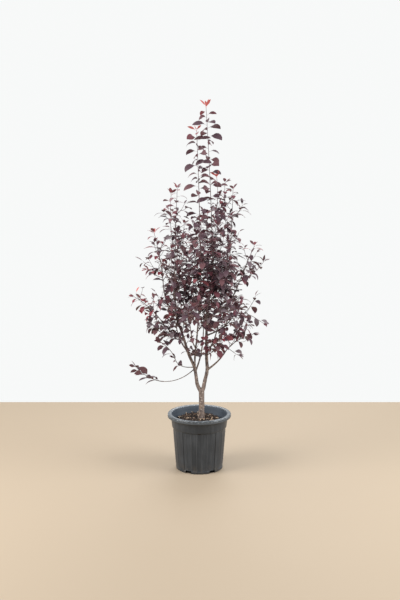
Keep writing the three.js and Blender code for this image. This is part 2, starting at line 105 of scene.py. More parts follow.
# Radii over the compost, and its heights there.
SOIL_MOUND = ([0, 0.046, 0.080, 0.112, 0.140, SOIL_RADIUS], [0.318, 0.323, 0.328, 0.322, 0.305, SOIL_EDGE])
SOIL_LEAN = 0.05
CLEAR = 0.0003

CAMERA_PLACE = (0.0044, -5.104, 1.834)
CAMERA_PITCH = math.radians(8.47)
CAMERA_LENS = 50

TRUNK_X = 0.014
TRUNK_RADIUS = 0.017
TRUNK_FLARE = 0.024
CROTCH_RADIUS = 0.018
CROTCH_HEIGHT = 0.505

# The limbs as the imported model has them: the points that each leader passes, then the boughs, each with
# the limb and height that it leaves, its tip, the bow of its middle (out, or out and down) and its radii.
LEADERS = {
    "left_leader": {
        "path": [
            (-0.016, 0, 0.556), (-0.031, -0.002, 0.649), (-0.066, -0.008, 0.733),
            (-0.105, -0.014, 0.864), (-0.138, -0.014, 0.960), (-0.152, -0.008, 1.130),
            (-0.150, 0.002, 1.290),
        ],
        "radii": (0.0122, 0.0034),
    },
    "right_leader": {
        "path": [
            (0.034, 0, 0.556), (0.049, 0.002, 0.629), (0.046, 0.004, 0.703), (0.045, 0.006, 0.866),
            (0.056, 0.010, 1.040), (0.084, 0.012, 1.269), (0.081, 0.010, 1.390),
        ],
        "radii": (0.013, 0.004),
    },
    "middle_leader": {
        "foot": ("left_leader", 0.636),
        "path": [
            (-0.027, -0.024, 0.722), (-0.016, -0.032, 0.831), (-0.006, -0.040, 0.960),
            (0.008, -0.046, 1.180), (0.005, -0.040, 1.420),
        ],
        "radii": (0.0065, 0.0034),
    },
}
BOUGHS = {
    "right_low_bough": (("right_leader", 0.632), (0.160, -0.034, 0.752), 0.08, (0.0065, 0.004)),
    "right_inner_bough": (("right_leader", 0.735), (0.118, 0.090, 0.900), 0.14, (0.0055, 0.0034)),
    "back_bough": (("left_leader", 0.622), (0.026, 0.128, 0.850), 0.2, (0.006, 0.0036)),
    "left_mid_bough": (("left_leader", 0.830), (-0.232, -0.030, 0.944), 0.12, (0.005, 0.0032)),
    "left_back_bough": (("left_leader", 0.750), (-0.150, 0.122, 0.900), 0.18, (0.005, 0.0032)),
    "front_bough": (("middle_leader", 0.780), (-0.050, -0.162, 0.900), 0.16, (0.0046, 0.0032)),
    "right_front_bough": (("right_leader", 0.770), (0.140, -0.126, 0.900), 0.16, (0.005, 0.0032)),
    "right_mid_bough": (("right_leader", 0.850), (0.206, 0.020, 0.960), 0.14, (0.005, 0.0032)),
    "far_left_bough": (("left_leader", 0.990), (-0.222, 0.006, 1.160), 0.18, (0.0044, 0.003)),
    "far_right_bough": (("right_leader", 0.965), (0.232, -0.014, 1.150), 0.18, (0.0046, 0.003)),
    "upper_right_bough": (("right_leader", 1.140), (0.190, 0.018, 1.370), 0.2, (0.0042, 0.0028)),
    "left_whip": (("left_leader", 0.650), (-0.150, -0.050, 0.712), 0.3, (0.003, 0.0022)),
    "low_whip": (("left_leader", 0.640), (-0.222, -0.026, 0.563), (-0.04, 0.22), (0.0032, 0.0022)),
}

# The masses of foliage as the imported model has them: the limb that each one's stem goes on from, or leaves
# at a height, then its tip, more tips of long shoots, its reach and its count of side shoots. The rest is
# for the looks alone.
# shoots_to, twigs_to: the share of the stem up to which side shoots and finer twigs stand.
# zone: the joined piece that the mass belongs to.
# full: the share of its leaves that stay.
# spread, size, slim: the gap from leaf to leaf, the leaves' size and their width, against a plain leaf's.
# whip_from: the height from which the stem is a long whip. Only there spread and size count.
# hang, roll, twist, forward: how far its leaves bend down, roll at random, roll at least, and lean onward.
# blush: the share of its sprays that are red.
# spray, tips: the tones of the stem's own leaves, and of the last leaves on its shoots.
TOP_WHIP = dict(
    zone="top", full=1, spread=0.7, size=1.22, slim=0.92, whip_from=1.66, hang=1.12, roll=0.4, twist=0.44
)
LOW_WHIP = dict(shoots=1, shoots_to=0, twigs_to=0, zone="whip", full=1)
MASSES = {
    "top_right": dict(
        foot=("right_leader",), tip=(0.041, 0, 2.236), more=[(0.106, 0.004, 1.822)], reach=0.084, shoots=6,
        shoots_to=0.3, twigs_to=0.1, blush=0.2, tips="bright", **TOP_WHIP,
    ),
    "top_left": dict(
        foot=("middle_leader",), tip=(-0.016, -0.034, 2.100), reach=0.080, shoots=5, shoots_to=0.24,
        twigs_to=0.06, blush=0.25, tips="bright", **TOP_WHIP,
    ),
    "upper_left": dict(
        foot=("left_leader",), tip=(-0.134, 0.006, 1.755),
        more=[(-0.172, 0.030, 1.722), (-0.092, 0.004, 1.540)], reach=0.092, shoots=5, zone="top", full=0.7,
        spread=0.7, size=0.96, blush=0.25, tips="pink",
    ),
    "upper_right": dict(
        foot=("upper_right_bough",), tip=(0.206, 0.024, 1.750), more=[(0.158, 0.044, 1.790)], reach=0.092,
        shoots=5, zone="top", full=0.75, spread=0.75, size=0.96, blush=0.4, tips="pink",
    ),
    "upper_front": dict(
        foot=("middle_leader", 1.130), tip=(0.010, -0.180, 1.560),
        more=[(0.110, -0.060, 1.530), (0.146, -0.070, 1.462)], reach=0.112, shoots=6, zone="top", full=0.82,
        spread=0.66, blush=0.35,
    ),
    "upper_back": dict(
        foot=("right_leader", 1.150), tip=(0.050, 0.180, 1.590), more=[(0.094, 0.080, 1.566)], reach=0.118,
        shoots=6, zone="top", full=0.84, spread=0.68, blush=0.3, tips="pink",
    ),
    "far_left": dict(
        foot=("far_left_bough",), tip=(-0.276, 0.016, 1.482),
        more=[(-0.308, -0.030, 1.262), (-0.226, -0.010, 1.300)], reach=0.100, shoots=6, zone="middle",
        full=0.55, blush=0.35, tips="scarlet",
    ),
    "far_right": dict(
        foot=("far_right_bough",), tip=(0.336, 0, 1.406),
        more=[(0.396, 0.030, 1.306), (0.262, 0.020, 1.190)], reach=0.100, shoots=6, zone="middle", full=0.7,
        spread=0.85, blush=0.15,
    ),
    "front_left": dict(
        foot=("left_leader", 1.040), tip=(-0.166, -0.190, 1.400), more=[(-0.096, -0.100, 1.450)],
        reach=0.128, shoots=5, zone="middle", full=0.55, blush=0.2,
    ),
    "front_right": dict(
        foot=("right_leader", 1.060), tip=(0.176, -0.190, 1.390),
        more=[(0.176, -0.080, 1.440), (0.216, -0.060, 1.170)], reach=0.128, shoots=5, zone="middle",
        full=0.9, spread=0.68, blush=0.2,
    ),
    "back_left": dict(
        foot=("left_leader", 1.080), tip=(-0.140, 0.206, 1.410), more=[(-0.104, 0.130, 1.470)], reach=0.128,
        shoots=5, zone="middle", full=0.86, spread=0.74, blush=0.2, tips="red",
    ),
    "back_right": dict(
        foot=("right_leader", 1.030), tip=(0.190, 0.200, 1.400), more=[(0.132, 0.140, 1.480)], reach=0.128,
        shoots=5, zone="middle", full=0.84, spread=0.76, blush=0.15,
    ),
    "left_mid": dict(
        foot=("left_mid_bough",), tip=(-0.392, -0.040, 1.096), more=[(-0.334, -0.040, 1.004)], reach=0.116,
        shoots=5, zone="low", full=0.54, blush=0.25, tips="scarlet",
    ),
    "right_mid": dict(
        foot=("right_mid_bough",), tip=(0.394, 0.030, 0.926),
        more=[(0.300, 0.020, 0.915), (0.236, 0, 0.940)], reach=0.120, shoots=5, shoots_to=0.5, zone="low",
        full=0.75, blush=0.1,
    ),
    "left_low": dict(
        foot=("left_leader", 0.820), tip=(-0.288, -0.110, 0.945), more=[(-0.286, -0.060, 1.000)],
        reach=0.118, shoots=6, zone="low", full=0.85, blush=0, tips="dark",
    ),
    "right_low": dict(
        foot=("right_low_bough",), tip=(0.324, -0.048, 0.866),
        more=[(0.292, -0.010, 0.930), (0.232, -0.070, 0.744)], reach=0.120, shoots=6, zone="low", full=0.7,
        blush=0.25,
    ),
    "low_front": dict(
        foot=("front_bough",), tip=(-0.070, -0.300, 1.060), reach=0.124, shoots=5, zone="low", full=0.55,
        blush=0.15,
    ),
    "low_right_front": dict(
        foot=("right_front_bough",), tip=(0.226, -0.256, 1.050), reach=0.124, shoots=5, zone="low",
        full=0.8, blush=0.2,
    ),
    "low_left_back": dict(
        foot=("left_back_bough",), tip=(-0.256, 0.228, 1.060), reach=0.124, shoots=5, zone="back",
        full=0.66, blush=0.2,
    ),
    "low_back": dict(
        foot=("back_bough",), tip=(0.006, 0.300, 1.050), reach=0.124, shoots=5, zone="back", full=0.88,
        spread=0.9, blush=0.2, tips="red",
    ),
    "low_right_back": dict(
        foot=("right_inner_bough",), tip=(0.250, 0.236, 1.050), reach=0.124, shoots=5, zone="back",
        full=0.85, blush=0.15,
    ),
    "inner_left": dict(
        foot=("left_leader", 0.870), tip=(-0.080, 0.066, 1.330),
        more=[(-0.118, 0.050, 1.400), (-0.034, 0.050, 1.386)], reach=0.110, shoots=8, zone="back",
        full=0.85, spread=0.64, blush=0.1,
    ),
    "inner_front": dict(
        foot=("middle_leader", 0.880), tip=(0.060, -0.130, 1.110), more=[(-0.024, -0.060, 1.340)],
        reach=0.100, shoots=5, zone="middle", full=0.58, blush=0.15,
    ),
    "inner_right_low": dict(
        foot=("right_leader", 0.725), tip=(0.140, -0.112, 0.862), reach=0.096, shoots=5, zone="low", full=1,
        spread=0.8, blush=1, spray=("red", "wine"), tips="red",
    ),
    "inner_low": dict(
        foot=("middle_leader", 0.730), tip=(-0.118, -0.128, 0.850), reach=0.100, shoots=5, zone="low",
        full=0.5, blush=0, tips="dark",
    ),
    "whip_spray": dict(
        foot=("left_whip",), tip=(-0.238, -0.066, 0.822), reach=0.090, spread=0.56, size=1.08, roll=0.9,
        forward=0.4, blush=0, **LOW_WHIP,
    ),
    "low_whip_spray": dict(
        foot=("low_whip",), tip=(-0.392, -0.034, 0.654), reach=0.060, spread=0.66, hang=0.5, roll=1.2,
        forward=0.6, blush=0.15, spray=("dark", "brown"), **LOW_WHIP,
    ),
}
ZONES = ("top", "middle", "low", "back", "whip")

# Where the crown opens to the sky as the camera sees it: the middle of each opening in the plane of the
# trunk, its half width and half height, and the share of the leaves in it that are left out.
SKY_GAPS = (
    (-0.280, 1.111, 0.056, 0.044, 0.7),
    (-0.349, 1.055, 0.037, 0.038, 0.5),
    (-0.404, 1.093, 0.031, 0.037, 0.3),
    (-0.223, 1.335, 0.043, 0.055, 0.2),
    (-0.199, 1.242, 0.043, 0.031, 0.3),
    (0.287, 1.335, 0.049, 0.062, 0.6),
    (0.352, 1.024, 0.062, 0.056, 0.75),
    (-0.027, 0.917, 0.044, 0.050, 0.75),
    (-0.145, 0.796, 0.044, 0.038, 0.65),
    (-0.083, 0.790, 0.042, 0.036, 0.75),
    (0.230, 0.796, 0.076, 0.036, 0.8),
    (-0.211, 1.470, 0.032, 0.076, 0.6),
    (-0.377, 0.940, 0.050, 0.032, 0.5),
    (0.092, 0.853, 0.031, 0.032, 0.75),
    (0.092, 0.739, 0.038, 0.038, 0.5),
    (0.079, 0.986, 0.037, 0.031, 0.5),
    (0.218, 1.508, 0.034, 0.060, 0.55),
    (-0.118, 1.530, 0.060, 0.036, 0.45),
    (-0.336, 1.043, 0.030, 0.030, 0.8),
    (-0.152, 0.790, 0.034, 0.032, 0.5),
    (0.346, 0.980, 0.042, 0.040, 0.9),
    (-0.277, 0.790, 0.032, 0.032, 0.6),
    (-0.020, 0.890, 0.050, 0.060, 0.7),
    (0.160, 0.917, 0.034, 0.034, 0.4),
    (0.284, 0.988, 0.036, 0.034, 0.4),
    (-0.210, 1.230, 0.036, 0.036, 0.8),
    (-0.212, 0.858, 0.034, 0.034, 0.4),
    (-0.124, 0.770, 0.036, 0.036, 0.5),
    (-0.262, 1.270, 0.034, 0.060, 0.35),
    (-0.150, 1.043, 0.034, 0.034, 0.25),
    (0.035, 0.985, 0.030, 0.030, 0.35),
    (-0.030, 0.735, 0.026, 0.026, 0.5),
    (0.157, 1.476, 0.034, 0.036, 0.4),
    (-0.149, 1.476, 0.030, 0.032, 0.35),
    (-0.210, 1.415, 0.032, 0.034, 0.8),
    (-0.271, 1.353, 0.034, 0.034, 0.5),
    (0.030, 1.440, 0.036, 0.044, 0.3),
    (-0.027, 1.476, 0.032, 0.034, 0.3),
    (0.096, 1.765, 0.030, 0.045, 0.35),
    (0.180, 1.598, 0.050, 0.034, 0.35),
    (0.275, 1.268, 0.040, 0.045, 0.35),
)

# Leaves outside the masses: on a short shoot that crosses the fork from the right leader, along the left
# whip, and on spurs of the wood inside the crown.
CROSS_HEIGHT = 0.722
CROSS_TIP = (-0.054, -0.060, 0.784)
CROSS_BOW = 0.1
CROSSING = dict(
    full=1, spread=0.48, size=0.8, hang=0.5, roll=0.4, twist=0.6, forward=1.2, blush=0,
    spray=("grey", "brown"), tips="dark",
)
BARE_WHIP = dict(full=1, spread=0.8, size=0.78, roll=0.9, blush=0.3)
SPUR = dict(full=1, blush=0.12)

# The growth rule's numbers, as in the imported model.
STEM_BOW = 0.16
STEM_ONWARD = 0.45
LONG_FROM = 0.16
LONG_BOW = 0.12
SAG_SHARE = 0.8
SHOOT_SPAN = (0.06, 0.74)
SHOOT_REACH = 1.35
SHOOT_PARTS = (1, 0.8, 0.62, 0.48)
SHOOT_OPEN = math.radians(60)
SHOOT_CLOSE = math.radians(22)
SPACE_MARGIN = 0.0035
LIMB_MARGIN = 0.004
GOLDEN_TURN = 2.399963
CURVE_SAMPLES = 240


def linear(red, green, blue):
    """A colour as a screen shows it, 0 to 255, in linear shares."""
    shares = [c / 255 for c in (red, green, blue)]
    return tuple(s / 12.92 if s <= 0.04045 else ((s + 0.055) / 1.055) ** 2.4 for s in shares)


def between(low, high, share):
    return low + (high - low) * share


def unit(v):
    v = np.asarray(v, float)
    return v / np.linalg.norm(v, axis=-1, keepdims=True)


# Settings that a user would change.
def length_setting(name, description, default):
    return FloatProperty(name=name, description=description, default=default, unit="LENGTH")


def colour_setting(name, description, *shade):
    """A colour, its start given as a screen shows it."""
    start = linear(*shade)
    return FloatVectorProperty(name=name, description=description, default=start, subtype="COLOR", size=3)


class PotSizes(bpy.types.PropertyGroup):
    """Sizes and colours of the pot."""

    wall: length_setting("Wall", "Thickness of the pot's wall", 0.005)
    panel_depth: length_setting("Panel depth", "How far the panels lie back", 0.0028)
    rib_height: length_setting("Rib height", "Height of the ribs in the panels", 0.0016)
    rib_width: length_setting("Rib width", "Width of a rib at its foot", 0.0042)
    rib_pitch: FloatProperty(
        name="Rib pitch", description="Angle from rib to rib", default=math.radians(12), subtype="ANGLE"
    )
    plastic: colour_setting("Plastic", "Colour of the clean plastic", 43, 49, 56)
    dust: colour_setting("Dust", "Colour of the dust on it", 82, 87, 93)


class SoilSizes(bpy.types.PropertyGroup):
    """Lumps and chips of the compost."""

    lump_height: length_setting("Lumps", "Height of the compost's lumps", 0.009)
    chip_count: FloatProperty(name="Bark chips", description="Bark chips on a square metre", default=5200)
    crumb_count: FloatProperty(name="Crumbs", description="Crumbs on a square metre", default=11000)
    compost: colour_setting("Compost", "Colour of the compost", 38, 28, 23)


class WoodSizes(bpy.types.PropertyGroup):
    """Relief and colours of the bark."""

    grain: length_setting("Grain", "Size of the cells that the wood is meshed with", 0.0015)
    relief: length_setting("Relief", "Height of the bark's lumps", 0.0010)
    node_gap: length_setting("Node gap", "Length from one swollen node to the next", 0.047)
    bark: colour_setting("Bark", "Colour of the old bark", 145, 128, 119)
    young_bark: colour_setting("Young bark", "Colour of the young bark", 116, 98, 95)


class CrownSizes(bpy.types.PropertyGroup):
    """Leaves and finer shoots of the crown."""

    leaf_length: length_setting("Leaf length", "Length of a full leaf's blade", 0.066)
    leaf_width: length_setting("Leaf width", "Width of a full leaf's blade", 0.035)
    leaf_thickness: length_setting("Leaf thickness", "Thickness of a blade", 0.0007)
    stalk: length_setting("Leaf stalk", "Length of a leaf's stalk", 0.012)
    leaf_gap: length_setting("Leaf gap", "Length of shoot from leaf to leaf", 0.024)
    twig_gap: length_setting("Twig gap", "Length of shoot from side twig to side twig", 0.058)
    seed: IntProperty(name="Seed", description="Start of the crown's random numbers", default=7)


class LeafColours(bpy.types.PropertyGroup):
    """Colours of the leaves, dealt out by spray."""

    dark: colour_setting("Dark", "Old leaves", 92, 68, 77)
    grey: colour_setting("Grey", "Greyish leaves", 128, 113, 118)
    brown: colour_setting("Brown", "Brownish leaves", 113, 77, 82)
    wine: colour_setting("Wine", "Wine red leaves", 117, 66, 76)
    rose: colour_setting("Rose", "Half grown leaves", 152, 84, 90)
    young: colour_setting("Young", "Youngest leaves", 210, 108, 102)
    red: colour_setting("Red", "Bright red leaves", 132, 56, 66)
    mauve: colour_setting("Mauve", "Pale thin leaves", 152, 116, 122)


# Node trees.
def paired(operation):
    """The two methods of an operator: with the reading on its left, and on its right."""

    def straight(self, other):
        return self.graph.maths(operation, self, other)

    def reflected(self, other):
        return self.graph.maths(operation, other, self)

    return straight, reflected


class Reading:
    """A socket that holds a value. A sum on readings adds its Math nodes."""

    def __init__(self, graph, socket):
        self.graph = graph
        self.socket = socket

    __add__, __radd__ = paired("ADD")
    __sub__, __rsub__ = paired("SUBTRACT")
    __mul__, __rmul__ = paired("MULTIPLY")
    __pow__, __rpow__ = paired("POWER")

    def __abs__(self):
        return self.graph.maths("ABSOLUTE", self)


class Graph:
    """A node tree. One method adds any node, and the others are short forms of it."""

    def __init__(self, tree):
        self.tree = tree
        tree.nodes.clear()

    def node(self, kind, settings=None, inputs=None, output=None):
        made = self.tree.nodes.new(kind)
        for name, value in (settings or {}).items():
            setattr(made, name, value)
        for name, value in (inputs or {}).items():
            shown = [s for s in made.inputs if s.enabled]
            target = shown[name] if isinstance(name, int) else next(s for s in shown if s.name == name)
            if isinstance(value, Reading):
                self.tree.links.new(value.socket, target)
            else:
                target.default_value = value
        shown = [s for s in made.outputs if s.enabled]
        if not shown:
            return None
        return Reading(self, next((s for s in shown if s.name == output), shown[0]))

    def maths(self, operation, *values):
        return self.node("ShaderNodeMath", {"operation": operation}, dict(enumerate(values)))


class Finish(Graph):
    """One material, on Object coordinates."""

    def __init__(self, name):
        self.material = bpy.data.materials.new(name)
        self.material.use_nodes = True
        super().__init__(self.material.node_tree)
        self.place = self.node("ShaderNodeTexCoord", output="Object")

    def axis(self, name):
        return self.node("ShaderNodeSeparateXYZ", None, {0: self.place}, output=name)

    def stretched(self, stretch):
        return self.node("ShaderNodeVectorMath", {"operation": "MULTIPLY"}, {0: self.place, 1: stretch})

    def noise(self, scale, detail=3.0, stretch=(1, 1, 1), roughness=0.5):
        inputs = {"Vector": self.stretched(stretch), "Scale": scale, "Detail": detail, "Roughness": roughness}
        return self.node("ShaderNodeTexNoise", None, inputs, output="Fac")

    def cells(self, scale, stretch=(1, 1, 1)):
        inputs = {"Vector": self.stretched(stretch), "Scale": scale}
        return self.node("ShaderNodeTexVoronoi", None, inputs, output="Distance")

    def step(self, value, low, high):
        """0 where the value is under low and 1 where it is over high, smooth between."""
        settings = {"interpolation_type": "SMOOTHSTEP"}
        return self.node("ShaderNodeMapRange", settings, {"Value": value, "From Min": low, "From Max": high})

    def fall(self, value, low, high):
        """The other way: 1 under low and 0 over high."""
        return 1 - self.step(value, low, high)

    @staticmethod
    def shade(colour):
        return colour if isinstance(colour, Reading) else (*colour, 1)

    def mix(self, share, first, second):
        inputs = {"Factor": share, "A": self.shade(first), "B": self.shade(second)}
        return self.node("ShaderNodeMix", {"data_type": "RGBA"}, inputs)

    def layered(self, colour, *layers):
        """A colour with others over it. Each layer is its share and its shade as a screen shows it."""
        for share, shade in layers:
            colour = self.mix(share, colour, linear(*shade))
        return colour

    def surface(self, colour, roughness, height=None, distance=0.001, **plain):
        inputs = {"Base Color": self.shade(colour), "Roughness": roughness}
        if height is not None:
            inputs["Normal"] = self.node("ShaderNodeBump", None, {"Distance": distance, "Height": height})
        inputs.update({name.replace("_", " "): value for name, value in plain.items()})
        shader = self.node("ShaderNodeBsdfPrincipled", None, inputs)
        self.node("ShaderNodeOutputMaterial", None, {"Surface": shader})
        return self.material


def pot_plastic(sizes):
    """Moulded satin polypropylene, lightly dusty, scuffed, paler on the rim, with painted light and shade."""
    finish = Finish("dusty_plastic_and_painted_light")
    step, fall = finish.step, finish.fall
    height, x, y = finish.axis("Z"), finish.axis("X"), finish.axis("Y")
    across = (x**2 + y**2) ** 0.5
    outside = step(across, PANEL_TOP_RADIUS - 0.02, PANEL_TOP_RADIUS - 0.019)

    quarter = finish.maths("WRAP", finish.maths("ARCTAN2", x, 0 - y), math.pi / 4, -math.pi / 4)
    from_edge = abs(abs(quarter) - PANEL_HALF) * BASE_RADIUS
    half_pitch = sizes.rib_pitch / 2
    from_rib = abs(finish.maths("WRAP", quarter - half_pitch, half_pitch, -half_pitch)) * BASE_RADIUS
    panel = step(height, PANEL_BOTTOM, PANEL_BOTTOM + 0.01) * fall(height, PANEL_TOP - 0.001, PANEL_TOP)
    within = fall(abs(quarter), PANEL_HALF - 0.03, PANEL_HALF - 0.01)
    # Rib crests painted paler: partly worn plastic, partly a painted highlight on the ribs' relief.
    crest_wear_and_highlight = fall(from_rib, 0.0006, 0.0016) * panel * within
    # Painted shade: dark along the panels' edges and in a line under the collar's overhang.
    painted_corner_shade = fall(from_edge, 0.0008, 0.0034) * panel
    painted_collar_shadow = fall(abs(height - PANEL_TOP + 0.003), 0.0012, 0.0045) * within

    rim = step(height, COLLAR_TOP - 0.001, COLLAR_TOP + 0.004)
    bead = step(height, COLLAR_TOP + 0.011, COLLAR_TOP + 0.016)
    # Painted highlight: pale flecks on the bead, where it would catch the light.
    painted_bead_highlight = bead * step(finish.noise(62, 5, stretch=(1, 1, 2), roughness=0.7), 0.50, 0.62)
    # Painted shadow in a dark band under the rim's lip.
    painted_lip_shadow = step(height, COLLAR_TOP - 0.012, COLLAR_TOP - 0.004)
    painted_lip_shadow = painted_lip_shadow * fall(height, COLLAR_TOP, COLLAR_TOP + 0.003)

    # Painted light: the inside of the wall above the compost is painted paler and bluish.
    # The inner face lies within a cone midway through the wall.
    from_middle = across - 0.13 * (height - PANEL_TOP) - 0.168
    inner = step(height, SOIL_EDGE - 0.03, SOIL_EDGE) * fall(from_middle, -0.0005, 0.0005)
    # Painted shade: near black on the faces in and behind the drain slots.
    under_slots = fall(height, SLOT_HEIGHT + 0.001, SLOT_HEIGHT + 0.003)
    painted_slot_shade = under_slots * fall(across, BASE_RADIUS - 0.003, BASE_RADIUS - 0.001)

    clouds = finish.noise(9, 5)
    streaks = finish.noise(52, 4, stretch=(1, 1, 0.07))
    scuffs = step(finish.noise(70, 6, stretch=(1, 1, 1.6), roughness=0.75), 0.58, 0.72)
    dust = step(clouds + streaks, 0.84, 1.34) * 0.44 + scuffs * 0.24
    mud = fall(height, 0.004, 0.075) * step(finish.noise(30, 6, roughness=0.7), 0.42, 0.66)

    colour = finish.layered(
        finish.mix(finish.maths("MINIMUM", dust, 0.75), sizes.plastic, sizes.dust),
        (crest_wear_and_highlight * 0.26, (112, 116, 120)),
        (finish.maths("MAXIMUM", painted_corner_shade * 0.7, painted_collar_shadow) * outside * 0.6, (34, 37, 40)),
        (rim * 0.5, (94, 100, 106)),
        (painted_bead_highlight * 0.62, (176, 186, 193)),
        (painted_lip_shadow * outside * 0.6, (28, 30, 32)),
        (inner * 0.8, (94, 103, 114)),
        (painted_slot_shade, (14, 14, 14)),
        (mud * 0.5, (98, 90, 80)),
    )
    rough = 0.28 + 0.2 * clouds + 0.2 * scuffs - 0.10 * bead
    relief = finish.noise(900, 2) * 0.5 + finish.noise(160, 3, stretch=(1, 1, 0.2))
    return finish.surface(colour, rough, relief, 0.00012)


def compost(sizes):
    """Dark moist compost with paler fibres."""
    finish = Finish("moist_compost")
    fibres = finish.step(finish.noise(150, 5, stretch=(1, 0.5, 1)), 0.52, 0.7)
    patches = finish.noise(22, 4)
    wet = finish.step(patches, 0.45, 0.7)
    colour = finish.layered(sizes.compost, (fibres * 0.55, (104, 78, 58)), (wet * 0.5, (34, 26, 22)))
    return finish.surface(colour, 0.78 + 0.2 * patches, finish.noise(260, 6, roughness=0.7), 0.0016)


def chip(name, pale, dark):
    """Shredded bark with its grain."""
    finish = Finish(name)
    grain = finish.noise(240, 4, stretch=(1, 0.3, 0.6))
    stains = finish.step(finish.noise(60, 2), 0.35, 0.65)
    fibres = finish.step(grain, 0.5, 0.75)
    colour = finish.layered(linear(*pale), (stains, dark), (fibres * 0.5, (60, 44, 34)))
    return finish.surface(colour, 0.7 + 0.25 * grain, grain, 0.0005)


def bark(name, low_colour, high_colour, low=0.9, high=1.45):
    """Smooth bark, mottled dark and pale, with cross-wise lenticels and lichen flecks, darker further up."""
    finish = Finish(name)
    height = finish.axis("Z")
    climb = finish.step(height, low, high)
    mottle = finish.noise(38, 5, stretch=(1, 1, 0.5), roughness=0.62)
    dark = finish.step(mottle, 0.42, 0.56)
    streaks = finish.step(finish.noise(170, 4, stretch=(1, 1, 0.12)), 0.5, 0.7)
    foot = finish.fall(height, 0.35, 0.45) * finish.step(finish.noise(30, 3), 0.4, 0.62)
    flecks = finish.fall(finish.cells(64, stretch=(0.6, 0.6, 1.2)) + finish.noise(130, 3) * 0.36, 0.3, 0.54)
    pale = flecks * finish.step(finish.noise(40, 3), 0.42, 0.52)
    colour = finish.layered(
        finish.mix(climb, low_colour, high_colour),
        (dark * (0.9 - 0.4 * climb), (83, 71, 68)),
        (streaks * 0.45, (66, 50, 46)),
        (foot * 0.55, (172, 138, 100)),
        (pale * (0.74 - 0.4 * climb), (216, 202, 190)),
    )
    relief = flecks * 0.8 + finish.noise(170, 5, stretch=(1, 1, 0.25)) + finish.noise(420, 3) * 0.4
    return finish.surface(colour, 0.62 + 0.3 * mottle, relief, 0.0009)


def leaf(name, colour, sheen=0.05):
    """A blade of one plain colour: fine veins lift it, and its gloss varies."""
    finish = Finish(name)
    veins = finish.noise(210, 4, stretch=(1, 1, 0.6))
    rough = 0.40 + 0.26 * veins
    plain = {"Specular_IOR_Level": 0.36, "Sheen_Weight": sheen, "Sheen_Roughness": 0.5}
    return finish.surface(colour, rough, veins, 0.0006, **plain)


def floor_finish():
    """Plain pale floor."""
    finish = Finish("pale_floor")
    return finish.surface(linear(190, 172, 149), 0.62 + 0.1 * finish.noise(3, 3))


# Meshes.
def mesh_object(name, points, faces, materials, smooth=True, sharp=None, faces_finish=None):
    """An object of points and faces, where faces are arrays of corners, all triangles or all quads each."""
    mesh = bpy.data.meshes.new(name)
    points = np.asarray(points, np.float32).reshape(-1, 3)
    loops = np.concatenate([np.asarray(f, np.int32).ravel() for f in faces])
    sizes = np.concatenate([np.full(len(f), np.shape(f)[1], np.int32) for f in faces])
    mesh.vertices.add(len(points))
    mesh.vertices.foreach_set("co", points.ravel())
    mesh.loops.add(len(loops))
    mesh.loops.foreach_set("vertex_index", loops)
    mesh.polygons.add(len(sizes))
    mesh.polygons.foreach_set("loop_start", np.concatenate([[0], np.cumsum(sizes)[:-1]]).astype(np.int32))
    if faces_finish is not None:
        mesh.polygons.foreach_set("material_index", np.asarray(faces_finish, np.int32))
    mesh.update(calc_edges=True)
    mesh.validate()
    mesh.polygons.foreach_set("use_smooth", np.full(len(mesh.polygons), smooth))
    for material in materials:
        mesh.materials.append(material)
    if sharp is not None:
        mesh.set_sharp_from_angle(angle=sharp)
    made = bpy.data.objects.new(name, mesh)
    bpy.context.scene.collection.objects.link(made)
    return made


def baked(made):
    """Gives an object the mesh that its modifiers make, and takes the modifiers off."""
    made.update_tag()
    bpy.context.view_layer.update()
    graph = bpy.context.evaluated_depsgraph_get()
    evaluated = made.evaluated_get(graph)
    mesh = bpy.data.meshes.new_from_object(evaluated, preserve_all_data_layers=True, depsgraph=graph)
    made.modifiers.clear()
    made.data = mesh
    return made


def points_of(made):
    points = np.empty(len(made.data.vertices) * 3, np.float32)
    made.data.vertices.foreach_get("co", points)
    return points.reshape(-1, 3).astype(float)


def dress(made, slot, *nodes):
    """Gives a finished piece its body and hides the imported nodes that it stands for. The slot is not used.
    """
    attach(made, BODY)
    if nodes:
        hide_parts(*nodes)


def one_finish(made, material):
    made.data.materials.clear()
    made.data.materials.append(material)


def drop(*objects):
    for made in objects:
        bpy.data.objects.remove(made)


def arc(centre, radius, start, end, steps):
    """Points of [radius, height] on an arc, its angles in degrees from straight out."""
    angles = np.radians(np.linspace(start, end, steps + 1))
    return [(centre[0] + radius * math.cos(a), centre[1] + radius * math.sin(a)) for a in angles]


def ring_faces(rings, sides, inward=False):
    """Quads between rings of points, and fans to the two points after them that close the ends."""
    row, column = np.meshgrid(np.arange(rings - 1), np.arange(sides), indexing="ij")
    onward = (column + 1) % sides
    low, high = row * sides, (row + 1) * sides
    quads = np.stack([low + column, low + onward, high + onward, high + column], -1).reshape(-1, 4)
    spin = np.arange(sides)
    turned = (spin + 1) % sides
    last, middle = (rings - 1) * sides, rings * sides
    start = np.stack([np.full(sides, middle), turned, spin], -1)
    end = np.stack([np.full(sides, middle + 1), last + spin, last + turned], -1)
    fans = np.concatenate([start, end])
    if inward:
        return quads[:, [0, 3, 2, 1]], fans[:, [0, 2, 1]]
    return quads, fans


def smooth_step(value, low, high):
    share = np.clip((value - low) / (high - low), 0, 1)
    return share * share * (3 - 2 * share)


# The pot.
def wall_radius(z):
    return between(BASE_RADIUS, PANEL_TOP_RADIUS, (z - 0.004) / (PANEL_TOP - 0.002))


